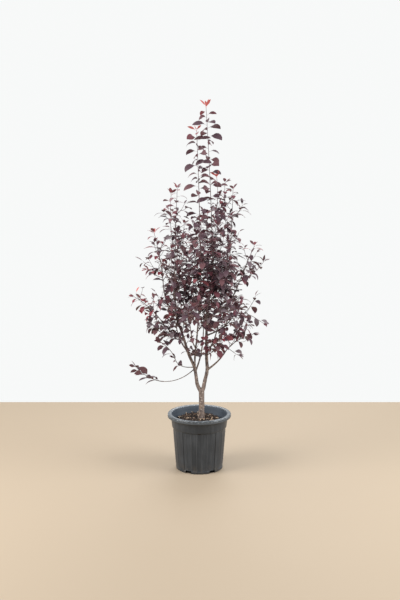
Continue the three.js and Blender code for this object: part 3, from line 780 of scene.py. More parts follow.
def pot_profile(wall):
    """Radius and height from the middle of the foot, up the outside, over the rim and down the inside."""
    foot = (BASE_RADIUS - BASE_ROUND, BASE_ROUND)
    outside = [(0.05, 0), (0.1, 0), *arc(foot, BASE_ROUND, -90, 0, 5)]
    heights = [0.0142, PANEL_BOTTOM, 0.0185, *np.linspace(0.03, 0.256, 16), 0.2635, PANEL_TOP]
    outside += [(wall_radius(z), z) for z in heights]
    step_radius, step_top = PANEL_TOP_RADIUS + COLLAR_STEP, PANEL_TOP + 0.0048
    outside += [(step_radius - 0.0012, PANEL_TOP + 0.0022), (step_radius, step_top)]
    outside += [
        (between(step_radius, COLLAR_TOP_RADIUS, share), between(step_top, COLLAR_TOP - 0.004, share))
        for share in (0.25, 0.5, 0.75, 1)
    ]
    rim = [(COLLAR_TOP_RADIUS + 0.002, COLLAR_TOP - 0.0005), (RIM_RADIUS - 0.009, COLLAR_TOP + 0.0006)]
    rim += arc((RIM_RADIUS - LIP_RADIUS, COLLAR_TOP + 0.001 + LIP_RADIUS), LIP_RADIUS, -80, 0, 4)
    rim += [(RIM_RADIUS, COLLAR_TOP + 0.0098), (RIM_RADIUS - 0.0015, COLLAR_TOP + 0.0112)]
    rim += arc((RIM_RADIUS - BEAD_RADIUS - 0.0004, POT_HEIGHT - BEAD_RADIUS), BEAD_RADIUS, -25, 95, 8)
    inner = COLLAR_TOP_RADIUS - wall
    rim += [(RIM_RADIUS - 0.0145, POT_HEIGHT - 0.0006)]
    rim += arc((inner + 0.005, POT_HEIGHT - 0.0072), 0.005, 92, 178, 4)
    inside = [(inner, COLLAR_TOP), (inner - 0.0023, 0.316), (PANEL_TOP_RADIUS - wall, PANEL_TOP)]
    inside += [(wall_radius(z) - wall, z) for z in (0.2, 0.1)]
    inside += [(BASE_RADIUS - wall, 0.007), (BASE_RADIUS - wall - 0.003, wall), (0.07, wall)]
    return np.array(outside + rim + inside)


def pot_azimuths(sizes):
    """Angles round the pot: even ones, and close ones at the edges of panels and ribs."""
    ribs = [side * sizes.rib_pitch * (i + 0.5) for i in range(3) for side in (-1, 1)]
    rib_half = sizes.rib_width / 2 / PANEL_TOP_RADIUS
    close = [rib + rib_half * part for rib in ribs for part in (-1, -0.5, 0, 0.5, 1)]
    close += [side * (PANEL_HALF + shift) for side in (-1, 1) for shift in (-0.010, -0.003, 0.003, 0.010)]
    even = [a for a in np.radians(np.arange(-45, 45, 2.5)) if min(abs(a - c) for c in close) > 0.012]
    quarter = np.sort(np.array(close + even))
    turns = math.tau / PANEL_COUNT * np.arange(PANEL_COUNT)
    return (turns[:, None] + quarter).ravel(), np.tile(quarter, PANEL_COUNT), ribs, rib_half


def pot_relief(sizes, heights, outer, quarter, ribs, rib_half):
    """How far each point of the wall lies back in a panel, less how far it stands out on a rib."""
    in_panel = 1 - smooth_step(np.abs(quarter), PANEL_HALF - 0.004, PANEL_HALF + 0.004)
    ridge = sum(np.clip(1 - np.abs(quarter - rib) / rib_half, 0, 1) for rib in ribs) ** 0.7
    upright = smooth_step(heights, PANEL_BOTTOM - 0.0015, PANEL_BOTTOM + 0.0015)
    upright *= 1 - smooth_step(heights, PANEL_TOP - 0.002, PANEL_TOP + 0.0005)
    ribbed = smooth_step(heights, PANEL_BOTTOM + 0.006, PANEL_BOTTOM + 0.02)
    ribbed *= 1 - smooth_step(heights, PANEL_TOP - 0.02, PANEL_TOP - 0.008)
    depth = (outer * upright)[:, None] * in_panel * sizes.panel_depth
    return depth - (outer * ribbed)[:, None] * ridge * sizes.rib_height


def cutting_boxes(size, azimuths, radius, z):
    """Rounded boxes round the pot, their azimuths counted from -Y."""
    boxes = []
    for azimuth in azimuths:
        mesh = bmesh.new()
        bmesh.ops.create_cube(mesh, size=1, matrix=Matrix.Diagonal((*size, 1)))
        upright = [e for e in mesh.edges if abs(e.verts[0].co.y - e.verts[1].co.y) > size[1] / 2]
        bmesh.ops.bevel(mesh, geom=upright, offset=CUT_ROUND, segments=3, affect="EDGES", profile=0.5)
        place = Matrix.Rotation(azimuth, 4, "Z") @ Matrix.Translation((0, -radius, z))
        bmesh.ops.transform(mesh, matrix=place, verts=mesh.verts)
        boxes.append(mesh)
    return boxes


def joined(name, parts):
    """One object from several bmesh parts."""
    whole = bpy.data.meshes.new(name)
    target = bmesh.new()
    for part in parts:
        part.to_mesh(whole)
        part.free()
        target.from_mesh(whole)
    target.to_mesh(whole)
    target.free()
    made = bpy.data.objects.new(name, whole)
    bpy.context.scene.collection.objects.link(made)
    return made


def cut(made, cutter):
    change = made.modifiers.new("cut", "BOOLEAN")
    change.operation = "DIFFERENCE"
    change.solver = "EXACT"
    change.object = cutter
    baked(made)
    drop(cutter)


class CHERRYPLUM_OT_make_pot(bpy.types.Operator):
    """Moulds the pot: panels, ribs, collar, rolled rim, finger notches and drain slots"""

    bl_idname = "cherryplum.make_pot"
    bl_label = "Make pot"

    def execute(self, context):
        sizes = context.scene.pot_sizes
        radii, heights = pot_profile(sizes.wall).T
        azimuths, quarter, ribs, rib_half = pot_azimuths(sizes)
        outer = np.arange(len(radii)) < np.argmax(radii)
        reach = radii[:, None] - pot_relief(sizes, heights, outer, quarter, ribs, rib_half)
        turn = azimuths - math.pi / 2
        level = np.broadcast_to(heights[:, None], reach.shape)
        grid = np.stack([reach * np.cos(turn), reach * np.sin(turn), level], -1)
        points = np.concatenate([grid.reshape(-1, 3), [[0, 0, 0], [0, 0, sizes.wall]]])
        pot = mesh_object("nursery_pot", points, ring_faces(*reach.shape), [pot_plastic(sizes)])
        azimuths = [SLOT_TURN + math.tau * (i + 0.5) / SLOT_COUNT for i in range(SLOT_COUNT)]
        cutters = cutting_boxes((SLOT_WIDTH, SLOT_DEPTH, SLOT_HEIGHT * 2), azimuths, BASE_RADIUS, 0)
        azimuths = [math.tau * i / PANEL_COUNT for i in range(PANEL_COUNT)]
        notch_radius = wall_radius(PANEL_TOP) - sizes.panel_depth + 0.01 - NOTCH_DEPTH
        cutters += cutting_boxes((NOTCH_WIDTH, 0.02, NOTCH_HEIGHT), azimuths, notch_radius, PANEL_TOP - 0.004)
        cut(pot, joined("slot_cutter", cutters))
        pot.data.polygons.foreach_set("use_smooth", np.full(len(pot.data.polygons), True))
        pot.data.set_sharp_from_angle(angle=math.radians(38))
        dress(pot, "pot_plastic", "pot")
        return {"FINISHED"}


# The compost.
# How fine the lumps and the grain on them are, and how high the grain is against the lumps.
LUMP_SCALE = 42
GRAIN_SCALE = 210
GRAIN_SHARE = 0.35
LUMPS_DIE_OUT = 0.02
MOUND_RINGS = 46
MOUND_SIDES = 150
# Heights of the rings under the mound, and how far each is drawn in from the wall.
MOUND_UNDER = ((0.22, 0.0004), (0.05, 0.0004), (0.024, 0.034), (SOIL_FOOT, 0.034))
# The greatest length, width and thickness of each kind of litter, and the least as shares of them.
TAN_CHIP = (0.040, 0.017, 0.0044)
BROWN_CHIP = (0.026, 0.013, 0.005)
CRUMB = (0.010, 0.008, 0.007)
TWIG_BIT = (0.046, 0.0026, 0.0026)
SMALLEST_CHIP = (0.35, 0.5, 0.5)
CHIP_KINDS = 5
CHIP_TILT = 0.5
FEW_SHARE = 0.2


def soil_height(radius, azimuth, lump):
    """The mound round the trunk, with lumps that die out at the wall and at the trunk."""
    spot = Vector((radius * math.cos(azimuth), radius * math.sin(azimuth), 0))
    rough = noise.fractal(spot * LUMP_SCALE, 0.8, 2.1, 4) + GRAIN_SHARE * noise.noise(spot * GRAIN_SCALE)
    lean = SOIL_LEAN * max(0, spot.x)
    inward = min(1, (SOIL_RADIUS - radius) / LUMPS_DIE_OUT)
    return np.interp(radius, *SOIL_MOUND) - lean + lump * rough * inward


class CHERRYPLUM_OT_fill_soil(bpy.types.Operator):
    """Fills the pot with compost and strews bark chips and crumbs on it"""

    bl_idname = "cherryplum.fill_soil"
    bl_label = "Fill soil"

    def execute(self, context):
        sizes = context.scene.soil_sizes
        radii = np.linspace(SOIL_RADIUS / MOUND_RINGS, SOIL_RADIUS, MOUND_RINGS)
        angles = math.tau * np.arange(MOUND_SIDES) / MOUND_SIDES
        rings = [
            [(r * math.cos(a), r * math.sin(a), soil_height(r, a, sizes.lump_height)) for a in angles]
            for r in radii
        ]
        for z, drawn_in in MOUND_UNDER:
            r = np.interp(z, *INSIDE_WALL) - drawn_in
            rings.append([(r * math.cos(a), r * math.sin(a), z) for a in angles])
        points = np.concatenate([np.array(rings).reshape(-1, 3), [[0, 0, SOIL_TOP], [0, 0, SOIL_FOOT]]])
        faces = ring_faces(len(rings), MOUND_SIDES, inward=True)
        soil = mesh_object("compost_mound", points, faces, [compost(sizes)])
        dress(soil, "compost", "soil")
        tan = chip("tan_chip", (206, 184, 158), (140, 108, 82))
        brown = chip("brown_chip", (84, 58, 42), (38, 27, 22))
        crumb = chip("crumb", (44, 32, 26), (30, 23, 20))
        few = sizes.chip_count * FEW_SHARE
        strew("tan_bark_chips", soil, tan, few, TAN_CHIP, 3)
        strew("brown_bark_chips", soil, brown, sizes.chip_count, BROWN_CHIP, 5)
        strew("compost_crumbs", soil, crumb, sizes.crumb_count, CRUMB, 9)
        strew("twig_bits", soil, brown, few, TWIG_BIT, 13)
        return {"FINISHED"}


def splinters(count, seed):
    """A hidden collection of ragged chips, each one unit long."""
    random = np.random.default_rng(seed)
    shelf = bpy.data.collections.new("splinters")
    for i in range(count):
        part = bmesh.new()
        bmesh.ops.create_icosphere(part, subdivisions=1, radius=0.5)
        for vertex in part.verts:
            vertex.co *= random.uniform(0.72, 1.18)
            vertex.co.x = math.copysign(abs(vertex.co.x * 2) ** 0.7 / 2, vertex.co.x)
        mesh = bpy.data.meshes.new(f"splinter_{i}")
        part.to_mesh(mesh)
        part.free()
        shelf.objects.link(bpy.data.objects.new(f"splinter_{i}", mesh))
    return shelf


def strewing_tree():
    """Geometry Nodes: chips of a collection on the upward faces of a mesh, realized."""
    tree = bpy.data.node_groups.new("strewn_chips", "GeometryNodeTree")
    graph = Graph(tree)
    face = tree.interface
    face.new_socket("Geometry", in_out="OUTPUT", socket_type="NodeSocketGeometry")
    kinds = {
        "Ground": "Geometry", "Chips": "Collection", "Density": "Float", "Size": "Vector", "Tilt": "Float",
        "Keep Out": "Float", "Keep In": "Float", "Seed": "Int", "Material": "Material",
    }
    sockets = {
        name: face.new_socket(name, in_out="INPUT", socket_type=f"NodeSocket{kind}").identifier
        for name, kind in kinds.items()
    }
    entry = tree.nodes.new("NodeGroupInput")
    given = {s.name: Reading(graph, s) for s in entry.outputs if s.name}
    tilt, seed = given["Tilt"], given["Seed"]

    def vector_maths(operation, *values):
        return graph.node("ShaderNodeVectorMath", {"operation": operation}, dict(enumerate(values)))

    def dealt(low, high, seed):
        inputs = {"Min": low, "Max": high, "Seed": seed}
        return graph.node("FunctionNodeRandomValue", {"data_type": "FLOAT_VECTOR"}, inputs)

    normal = graph.node("GeometryNodeInputNormal")
    upward = graph.node("ShaderNodeSeparateXYZ", None, {0: normal}, output="Z")
    spot = graph.node("GeometryNodeInputPosition")
    distance = vector_maths("LENGTH", vector_maths("MULTIPLY", spot, (1, 1, 0)))
    clear = graph.maths("GREATER_THAN", distance, given["Keep Out"])
    clear = clear * graph.maths("GREATER_THAN", upward, 0.4)
    clear = clear * graph.maths("LESS_THAN", distance, given["Keep In"])
    inputs = {"Mesh": given["Ground"], "Selection": clear, "Density": given["Density"], "Seed": seed}
    points = graph.node("GeometryNodeDistributePointsOnFaces", None, inputs)
    low = graph.node("ShaderNodeCombineXYZ", None, {"X": 0 - tilt, "Y": 0 - tilt, "Z": 0.0})
    high = graph.node("ShaderNodeCombineXYZ", None, {"X": tilt, "Y": tilt, "Z": math.tau})
    turn = graph.node("FunctionNodeEulerToRotation", None, {0: dealt(low, high, seed)})
    scale = vector_maths("MULTIPLY", dealt(SMALLEST_CHIP, (1, 1, 1), seed + 1), given["Size"])
    inputs = {"Collection": given["Chips"], "Separate Children": True, "Reset Children": True}
    chips = graph.node("GeometryNodeCollectionInfo", None, inputs)
    inputs = {"Points": points, "Instance": chips, "Pick Instance": True, "Rotation": turn, "Scale": scale}
    instances = graph.node("GeometryNodeInstanceOnPoints", None, inputs)
    real = graph.node("GeometryNodeRealizeInstances", None, {"Geometry": instances})
    finished = graph.node("GeometryNodeSetMaterial", None, {"Geometry": real, "Material": given["Material"]})
    leave = tree.nodes.new("NodeGroupOutput")
    tree.links.new(finished.socket, leave.inputs[0])
    return tree, sockets


def strew(name, ground, material, density, size, seed):
    """Chips on the compost as one plain mesh."""
    tree, sockets = strewing_tree()
    shelf = splinters(CHIP_KINDS, seed)
    made = bpy.data.objects.new(name, ground.data.copy())
    bpy.context.scene.collection.objects.link(made)
    change = made.modifiers.new("strew", "NODES")
    change.node_group = tree
    wanted = {
        "Chips": shelf, "Density": density, "Size": size, "Tilt": CHIP_TILT, "Keep Out": TRUNK_FLARE * 1.5,
        "Keep In": SOIL_RADIUS - size[0] * 0.42, "Seed": seed, "Material": material,
    }
    for socket, value in wanted.items():
        change[sockets[socket]] = value
    baked(made)
    drop(*shelf.objects)
    bpy.data.collections.remove(shelf)
    one_finish(made, material)
    made.data.polygons.foreach_set("material_index", np.zeros(len(made.data.polygons), np.int32))
    made.data.polygons.foreach_set("use_smooth", np.full(len(made.data.polygons), False))
    dress(made, "compost")


# Centre lines of limbs and shoots.
class Run:
    """A centre line, read by the share of its length."""

    def __init__(self, points):
        self.points = np.asarray(points, float)
        steps = np.linalg.norm(np.diff(self.points, axis=0), axis=1)
        self.marks = np.concatenate([[0], np.cumsum(steps)])
        self.length = self.marks[-1]

    def at(self, share):
        place = np.asarray(share, float) * self.length
        return np.stack([np.interp(place, self.marks, self.points[:, k]) for k in range(3)], -1)

    def heading(self, share):
        share = np.asarray(share, float)
        return unit(self.at(np.minimum(share + 0.004, 1)) - self.at(np.maximum(share - 0.004, 0)))

    def line(self, count):
        """Points at even steps of the curve's own parameter."""
        place = np.linspace(0, len(self.points) - 1, count + 1)
        index = np.arange(len(self.points))
        return np.stack([np.interp(place, index, self.points[:, k]) for k in range(3)], -1)

    def share_at_height(self, height):
        return float(np.interp(height, self.points[:, 2], self.marks)) / self.length


def bezier(start, middle, end):
    t = np.linspace(0, 1, CURVE_SAMPLES + 1)[:, None]
    return Run((1 - t) ** 2 * start + 2 * t * (1 - t) * middle + t**2 * end)


def bowed(foot, tip, bow):
    """From a foot to a tip, the middle bowed outwards and down."""
    foot, tip = np.array(foot, float), np.array(tip, float)
    out, down = bow if isinstance(bow, tuple) else (bow, bow * SAG_SHARE)
    length = np.linalg.norm(tip - foot)
    outward = unit((tip - foot) * (1, 1, 0))
    middle = (foot + tip) / 2 + outward * out * length
    middle[2] -= down * length
    return bezier(foot, middle, tip)


def through(points):
    """A centripetal curve through points."""
    p = np.array(points, float)
    p = np.concatenate([[2 * p[0] - p[1]], p, [2 * p[-1] - p[-2]]])
    pieces = []
    t = np.linspace(0, 1, 41)[:, None]
    for a, b, c, d in zip(p, p[1:], p[2:], p[3:]):
        gaps = [max(np.linalg.norm(v - u) ** 0.5, 1e-6) for u, v in ((a, b), (b, c), (c, d))]
        leave = ((b - a) / gaps[0] - (c - a) / (gaps[0] + gaps[1]) + (c - b) / gaps[1]) * gaps[1]
        enter = ((c - b) / gaps[1] - (d - b) / (gaps[1] + gaps[2]) + (d - c) / gaps[2]) * gaps[1]
        square, cube = 3 * (c - b) - 2 * leave - enter, 2 * (b - c) + leave + enter
        piece = b + leave * t + square * t**2 + cube * t**3
        pieces.append(piece[:-1])
    return Run(np.concatenate([*pieces, [p[-2]]]))


def distances(points, line):
    """The least distance from each point to a line of points."""
    start, step = line[:-1], np.diff(line, axis=0)
    apart = np.atleast_2d(points)[:, None] - start
    share = np.clip((apart * step).sum(-1) / (step * step).sum(-1), 0, 1)
    return np.linalg.norm(apart - share[..., None] * step, axis=-1).min(1)


class Limb:
    """A leader or bough: its centre line and its radius along it."""

    def __init__(self, run, radii):
        self.run = run
        self.radii = radii
        self.line = run.line(24)
        self.guard = self.radius(0.3)

    def radius(self, share):
        return between(self.radii[0], self.radii[1], np.asarray(share, float) ** 0.8)


def build_limbs():
    limbs = {}

    def foot_point(foot):
        run = limbs[foot[0]].run
        return run.at(run.share_at_height(foot[1]) if len(foot) > 1 else 1)

    for name, leader in LEADERS.items():
        points = list(leader["path"])
        if "foot" in leader:
            points.insert(0, tuple(foot_point(leader["foot"])))
        limbs[name] = Limb(through(points), leader["radii"])
    for name, (foot, tip, bow, radii) in BOUGHS.items():
        limbs[name] = Limb(bowed(foot_point(foot), tip, bow), radii)
    return limbs


LIMBS = build_limbs()
SLIM = 0.9
TRUNK_BURIED = 0.02
TRUNK_PATH = [(0, SOIL_TOP - TRUNK_BURIED), (0, 0.338), (0.001, 0.42), (0, CROTCH_HEIGHT)]
TRUNK_RUN = through([(TRUNK_X + x, 0, z) for x, z in TRUNK_PATH])


# Wood.
ODD_WAY = (0.31, 0.9, 0.17)
WOOD_STEP = 0.004
TRUNK_SIDES = 40
ARM_SIDES = 32
LEADER_SIDES = 24
BOUGH_SIDES = 18
NODE_SWELLING = 0.10
NODE_WIDTH = 0.09
NODE_SHIFT = 0.37
COLLAR_SWELLING = 0.75


def tube(run, radius, sides, step, cap_round=0.0):
    """Points and quads of a closed tube round a run. radius takes shares of its length."""
    rings = max(3, int(run.length / step))
    shares = np.linspace(0, 1, rings + 1)
    centres, headings = run.at(shares), run.heading(shares)
    side = unit(np.cross(headings[0], ODD_WAY))
    across = []
    for heading in headings:
        side = unit(side - heading * (side @ heading))
        across.append(side)
    across = np.array(across)
    lifts = np.cross(headings, across)
    angles = math.tau * np.arange(sides) / sides
    ring = across[:, None] * np.cos(angles)[:, None] + lifts[:, None] * np.sin(angles)[:, None]
    points = centres[:, None] + ring * np.asarray(radius(shares), float).reshape(-1, 1, 1)
    ends = [centres[0] - headings[0] * cap_round, centres[-1] + headings[-1] * cap_round]
    return np.concatenate([points.reshape(-1, 3), ends]), *ring_faces(rings + 1, sides)


def tubes_object(name, tubes, material):
    """One object from many tubes."""
    points, quads, triangles = zip(*tubes)
    starts = np.cumsum([0, *map(len, points[:-1])])
    faces = [np.concatenate([f + start for f, start in zip(part, starts)]) for part in (quads, triangles)]
    return mesh_object(name, np.concatenate(points), faces, [material])


def swollen(radius, length, gap, phase):
    """A radius with a swelling at each node of the wood."""

    def at(shares):
        beat = (np.asarray(shares, float) * length / gap + phase) % 1
        return radius(shares) * (1 + NODE_SWELLING * np.exp(-(((beat - 0.5) / NODE_WIDTH) ** 2)))

    return at


def collared(radius, length, collar):
    """A radius that widens into a collar at the foot."""

    def at(shares):
        return radius(shares) * (1 + COLLAR_SWELLING * np.exp(-np.asarray(shares, float) * length / collar))

    return at


def fused(made, cell, smoothing):
    """Melts overlapping tubes into one skin."""
    change = made.modifiers.new("skin", "REMESH")
    change.mode = "VOXEL"
    change.voxel_size = cell
    change.use_smooth_shade = True
    settle = made.modifiers.new("settle", "SMOOTH")
    settle.factor = 0.5
    settle.iterations = smoothing
    return baked(made)


def roughen(made, relief):
    """Moves each point along its normal: lumps, long furrows and cross-wise lenticels."""
    points = points_of(made)
    normals = np.empty(len(points) * 3, np.float32)
    made.data.vertices.foreach_get("normal", normals)
    normals = normals.reshape(-1, 3)
    lift = np.empty(len(points))
    for i, (x, y, z) in enumerate(points):
        lump = noise.noise(Vector((x * 55, y * 55, z * 38)))
        furrow = noise.noise(Vector((x * 260, y * 260, z * 34)))
        lenticel = max(0, noise.noise(Vector((x * 130, y * 130, z * 430))) - 0.28)
        # Upwards the relief grows thin.
        thick = 1 - 0.7 * min(1, max(0, (z - 0.5) / 0.9))
        lift[i] = relief * thick * (0.8 * lump + 0.45 * furrow + 1.3 * lenticel)
    made.data.vertices.foreach_set("co", (points + normals * lift[:, None]).astype(np.float32).ravel())
    made.data.update()


def trunk_radius(shares):
    """The trunk flares at the compost and widens a little under its fork."""
    above = (np.asarray(shares, float) * TRUNK_RUN.length - TRUNK_BURIED) / (CROTCH_HEIGHT - SOIL_TOP)
    flare = (TRUNK_FLARE - TRUNK_RADIUS) * np.exp(-np.clip(above, 0, 1) * 9)
    return TRUNK_RADIUS + flare + (CROTCH_RADIUS - TRUNK_RADIUS) * np.clip(above, 0, 1) ** 3


def fork_arm(limb):
    """A tube from inside the trunk's top into the foot of a leader."""
    top, onward = limb.run.at(0), limb.run.heading(0)
    path = [
        (TRUNK_X, 0, CROTCH_HEIGHT - 0.022),
        (between(TRUNK_X, top[0], 0.60), 0, CROTCH_HEIGHT + 0.012),
        tuple(top - onward * 0.014),
        tuple(top + onward * 0.006),
    ]
    foot_radius = limb.radii[0] * SLIM
    radius = lambda s: between(CROTCH_RADIUS - 0.004, foot_radius, s**0.6)
    return tube(through(path), radius, ARM_SIDES, WOOD_STEP)


def wooden(name, tubes, material, sizes, smoothing, relief):
    """Tubes as one skin with the relief of bark."""
    made = fused(tubes_object(name, tubes, material), sizes.grain, smoothing)
    roughen(made, relief)
    one_finish(made, material)
    return made


class CHERRYPLUM_OT_grow_wood(bpy.types.Operator):
    """Grows the trunk, its leaders and the boughs, with the relief of their bark"""

    bl_idname = "cherryplum.grow_wood"
    bl_label = "Grow wood"

    def execute(self, context):
        sizes = context.scene.wood_sizes
        old = bark("plum_bark", sizes.bark, sizes.young_bark)
        young = bark("bough_bark", linear(145, 129, 120), sizes.young_bark, 0.65, 1.1)
        tubes = [tube(TRUNK_RUN, trunk_radius, TRUNK_SIDES, WOOD_STEP)]
        tubes += [fork_arm(LIMBS[name]) for name in ("left_leader", "right_leader")]
        for order, name in enumerate(LEADERS):
            limb = LIMBS[name]
            slim = lambda s, r=limb.radius: r(s) * between(SLIM, 1, np.asarray(s))
            radius = swollen(slim, limb.run.length, sizes.node_gap, order * NODE_SHIFT)
            if "foot" in LEADERS[name]:
                radius = collared(radius, limb.run.length, 0.014)
            tubes.append(tube(limb.run, radius, LEADER_SIDES, WOOD_STEP, 0.002))
        trunk = wooden("trunk_and_leaders", tubes, old, sizes, 3, sizes.relief)
        dress(trunk, "bark", "trunk", *LEADERS)
        tubes = []
        for order, name in enumerate(BOUGHS):
            limb = LIMBS[name]
            radius = swollen(limb.radius, limb.run.length, sizes.node_gap * 0.72, order * NODE_SHIFT)
            radius = collared(radius, limb.run.length, 0.012)
            tubes.append(tube(limb.run, radius, BOUGH_SIDES, WOOD_STEP, 0.0015))
        boughs = wooden("boughs", tubes, young, sizes, 2, sizes.relief * 0.6)
        dress(boughs, "young_bark", *BOUGHS)
        return {"FINISHED"}


# The growth rule.
def seeded(seed):
    """A repeatable stream of random numbers from 0 to 1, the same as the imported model's."""
    state = seed & 0xFFFFFFFF

    def draw():
        nonlocal state
        state = (state + 0x6D2B79F5) & 0xFFFFFFFF
        mixed = ((state ^ (state >> 15)) * (state | 1)) & 0xFFFFFFFF
        mixed ^= (mixed + (((mixed ^ (mixed >> 7)) * (mixed | 61)) & 0xFFFFFFFF)) & 0xFFFFFFFF
        return (mixed ^ (mixed >> 14)) / 4294967296

    return draw


def stem_run(mass):
    """The stem of a mass goes on from its limb's tip, or leaves the limb at a height."""
    limb, *height = mass["foot"]
    run = LIMBS[limb].run
    tip = np.array(mass["tip"], float)
    if height:
        return bowed(run.at(run.share_at_height(height[0])), tip, STEM_BOW)
    onward = run.heading(1)
    start = run.at(1) + onward * CLEAR
    return bezier(start, start + onward * np.linalg.norm(tip - start) * STEM_ONWARD, tip)


STEMS = {name: stem_run(mass) for name, mass in MASSES.items()}


def inside_own_space(name, points):
    """True where the mass's own stem is nearest, counted in its reach."""
    own = (distances(points, STEMS[name].line(8)) + SPACE_MARGIN) / MASSES[name]["reach"]
    others = [
        (distances(points, STEMS[other].line(8)) - SPACE_MARGIN) / mass["reach"]
        for other, mass in MASSES.items()
        if other != name
    ]
    return own <= np.min(others, axis=0)


def clear_of_limbs(points, margin):
    free = distances(points, TRUNK_RUN.line(6)) >= TRUNK_RADIUS + margin
    for limb in LIMBS.values():
        free &= distances(points, limb.line) >= limb.guard + margin
    return free


def side_shoot(start, azimuth, reach):
    """A side shoot opens out from its stem at an azimuth and then turns up."""

    def aim(tilt):
        across = math.sin(tilt)
        return np.array([across * math.cos(azimuth), across * math.sin(azimuth), math.cos(tilt)]) * reach / 2

    middle = start + aim(SHOOT_OPEN)
    return bezier(start, middle, middle + aim(SHOOT_CLOSE))


def fits(name, run):
    points = run.at([0.3, 0.45, 0.6, 0.75, 0.9, 1])
    return inside_own_space(name, points).all() and clear_of_limbs(points, LIMB_MARGIN).all()


# Radii at the foot and at the tip of each kind of shoot, the length of its bare foot, and its rank: 0 where
# it leads, 1 and 2 where it leaves one that leads or a side shoot, and 3 on old wood.
SHOOT_KINDS = {
    "stem": ((0.0030, 0.0013), 0.03, 0),
    "long": ((0.0024, 0.0012), 0.04, 0),
    "side": ((0.0021, 0.0011), 0.018, 1),
    "twig": ((0.0015, 0.0009), 0.014, 2),
    "spur": ((0.0020, 0.0013), 0.010, 3),
    "crossing": ((0.0022, 0.0012), 0.006, 0),
    "bare_whip": (None, 0.075, 0),
}
STEM_TWIGS_TO = 0.62
SHOOT_TWIGS_TO = 0.7
# A twig's reach and how much of it is lost at the shoot's tip, how it leaves its shoot, and how it turns up.
TWIG_REACH = (0.045, 0.105)
TWIG_LOSS = 0.45
TWIG_ONWARD = 0.45
TWIG_RISE = 0.25
TWIG_TURN_UP = 0.55
SPUR_REACH = (0.015, 0.045)
SPUR_GAP = 0.034
SPUR_ONWARD = 0.4
SPUR_BOW = 0.003
# Spurs stand over the first height, and over the second they belong to the middle piece.
SPURS_FROM = 0.86
SPURS_MIDDLE = 1.0


class Shoot:
    """A leafy shoot: its run, and what its kind gives it."""

    def __init__(self, run, kind):
        self.run = run
        self.radii, self.bare, self.rank = SHOOT_KINDS[kind]


def grow_shoots(name, order):
    """The mass's stem, its further long shoots, and side shoots wherever they fit its space."""
    mass = MASSES[name]
    random = seeded(101 + order * 17)
    stem = STEMS[name]
    shoots = [Shoot(stem, "stem")]
    for tip in mass.get("more", ()):
        shoots.append(Shoot(bowed(stem.at(LONG_FROM), tip, LONG_BOW), "long"))
    azimuth = random() * math.tau
    for i in range(mass["shoots"]):
        share = between(*SHOOT_SPAN, (i + 0.3 + 0.4 * random()) / mass["shoots"])
        reach = mass["reach"] * SHOOT_REACH * (1 - 0.5 * share) * between(0.85, 1.15, random())
        azimuth += GOLDEN_TURN
        if share > mass.get("shoots_to", 1):
            continue
        for part in SHOOT_PARTS:
            run = side_shoot(stem.at(share), azimuth, reach * part)
            if fits(name, run):
                shoots.append(Shoot(run, "side"))
                break
    return shoots


def turned_out(run, share, turn):
    """The way that a run heads at a share of its length, and the way out from it at an angle round it."""
    heading = run.heading(share)
    side = unit(np.cross(heading, ODD_WAY))
    return heading, side * math.cos(turn) + np.cross(heading, side) * math.sin(turn)


def grow_twigs(name, shoots, gap, random):
    """Finer twigs, set round each shoot by the golden angle where they stay in the mass's space."""
    twigs = []
    for shoot in shoots:
        length = shoot.run.length
        turn = random.uniform(0, math.tau)
        stop = MASSES[name].get("twigs_to", STEM_TWIGS_TO) if shoot.rank == 0 else SHOOT_TWIGS_TO
        place = shoot.bare + random.uniform(0.2, 0.8) * gap
        while place < length * stop:
            share = place / length
            start = shoot.run.at(share)
            turn += GOLDEN_TURN
            heading, out = turned_out(shoot.run, share, turn)
            reach = random.uniform(*TWIG_REACH) * (1 - TWIG_LOSS * share)
            aim = unit(out + heading * TWIG_ONWARD + np.array([0, 0, TWIG_RISE]))
            middle = start + aim * reach * 0.5
            end = middle + unit(aim + np.array([0, 0, TWIG_TURN_UP])) * reach * 0.5
            probe = np.array([middle, end])
            if inside_own_space(name, probe).all() and clear_of_limbs(probe, LIMB_MARGIN).all():
                twigs.append(Shoot(bezier(start, middle, end), "twig"))
            place += gap * random.uniform(0.7, 1.3)
    return twigs


def grow_spurs(random):
    """Short leafy spurs on the wood inside the crown."""
    spurs = []
    for name, limb in LIMBS.items():
        if "whip" in name:
            continue
        place = random.uniform(0.2, 1) * SPUR_GAP
        turn = random.uniform(0, math.tau)
        while place < limb.run.length:
            share = place / limb.run.length
            start = limb.run.at(share)
            turn += GOLDEN_TURN
            place += SPUR_GAP * random.uniform(0.6, 1.4)
            if start[2] < SPURS_FROM:
                continue
            heading, out = turned_out(limb.run, share, turn)
            out = unit(out + heading * SPUR_ONWARD)
            foot = start + out * float(limb.radius(share)) * 0.5
            end = foot + out * random.uniform(*SPUR_REACH)
            spurs.append(Shoot(bezier(foot, (foot + end) / 2 + heading * SPUR_BOW, end), "spur"))
    return spurs


# Leaves.
TONES = ("dark", "grey", "brown", "wine", "rose", "young", "red", "mauve")


class Leaves:
    """Every leaf of a piece: where it starts, where it points, and its size, hang, roll and tone."""

    FIELDS = ("base", "out", "size", "hang", "roll", "tone", "slim")

    def __init__(self):
        self.rows = {field: [] for field in self.FIELDS}

    def add(self, **row):
        for field in self.FIELDS:
            self.rows[field].append(row[field])

    def arrays(self):
        return {field: np.array(values) for field, values in self.rows.items()}


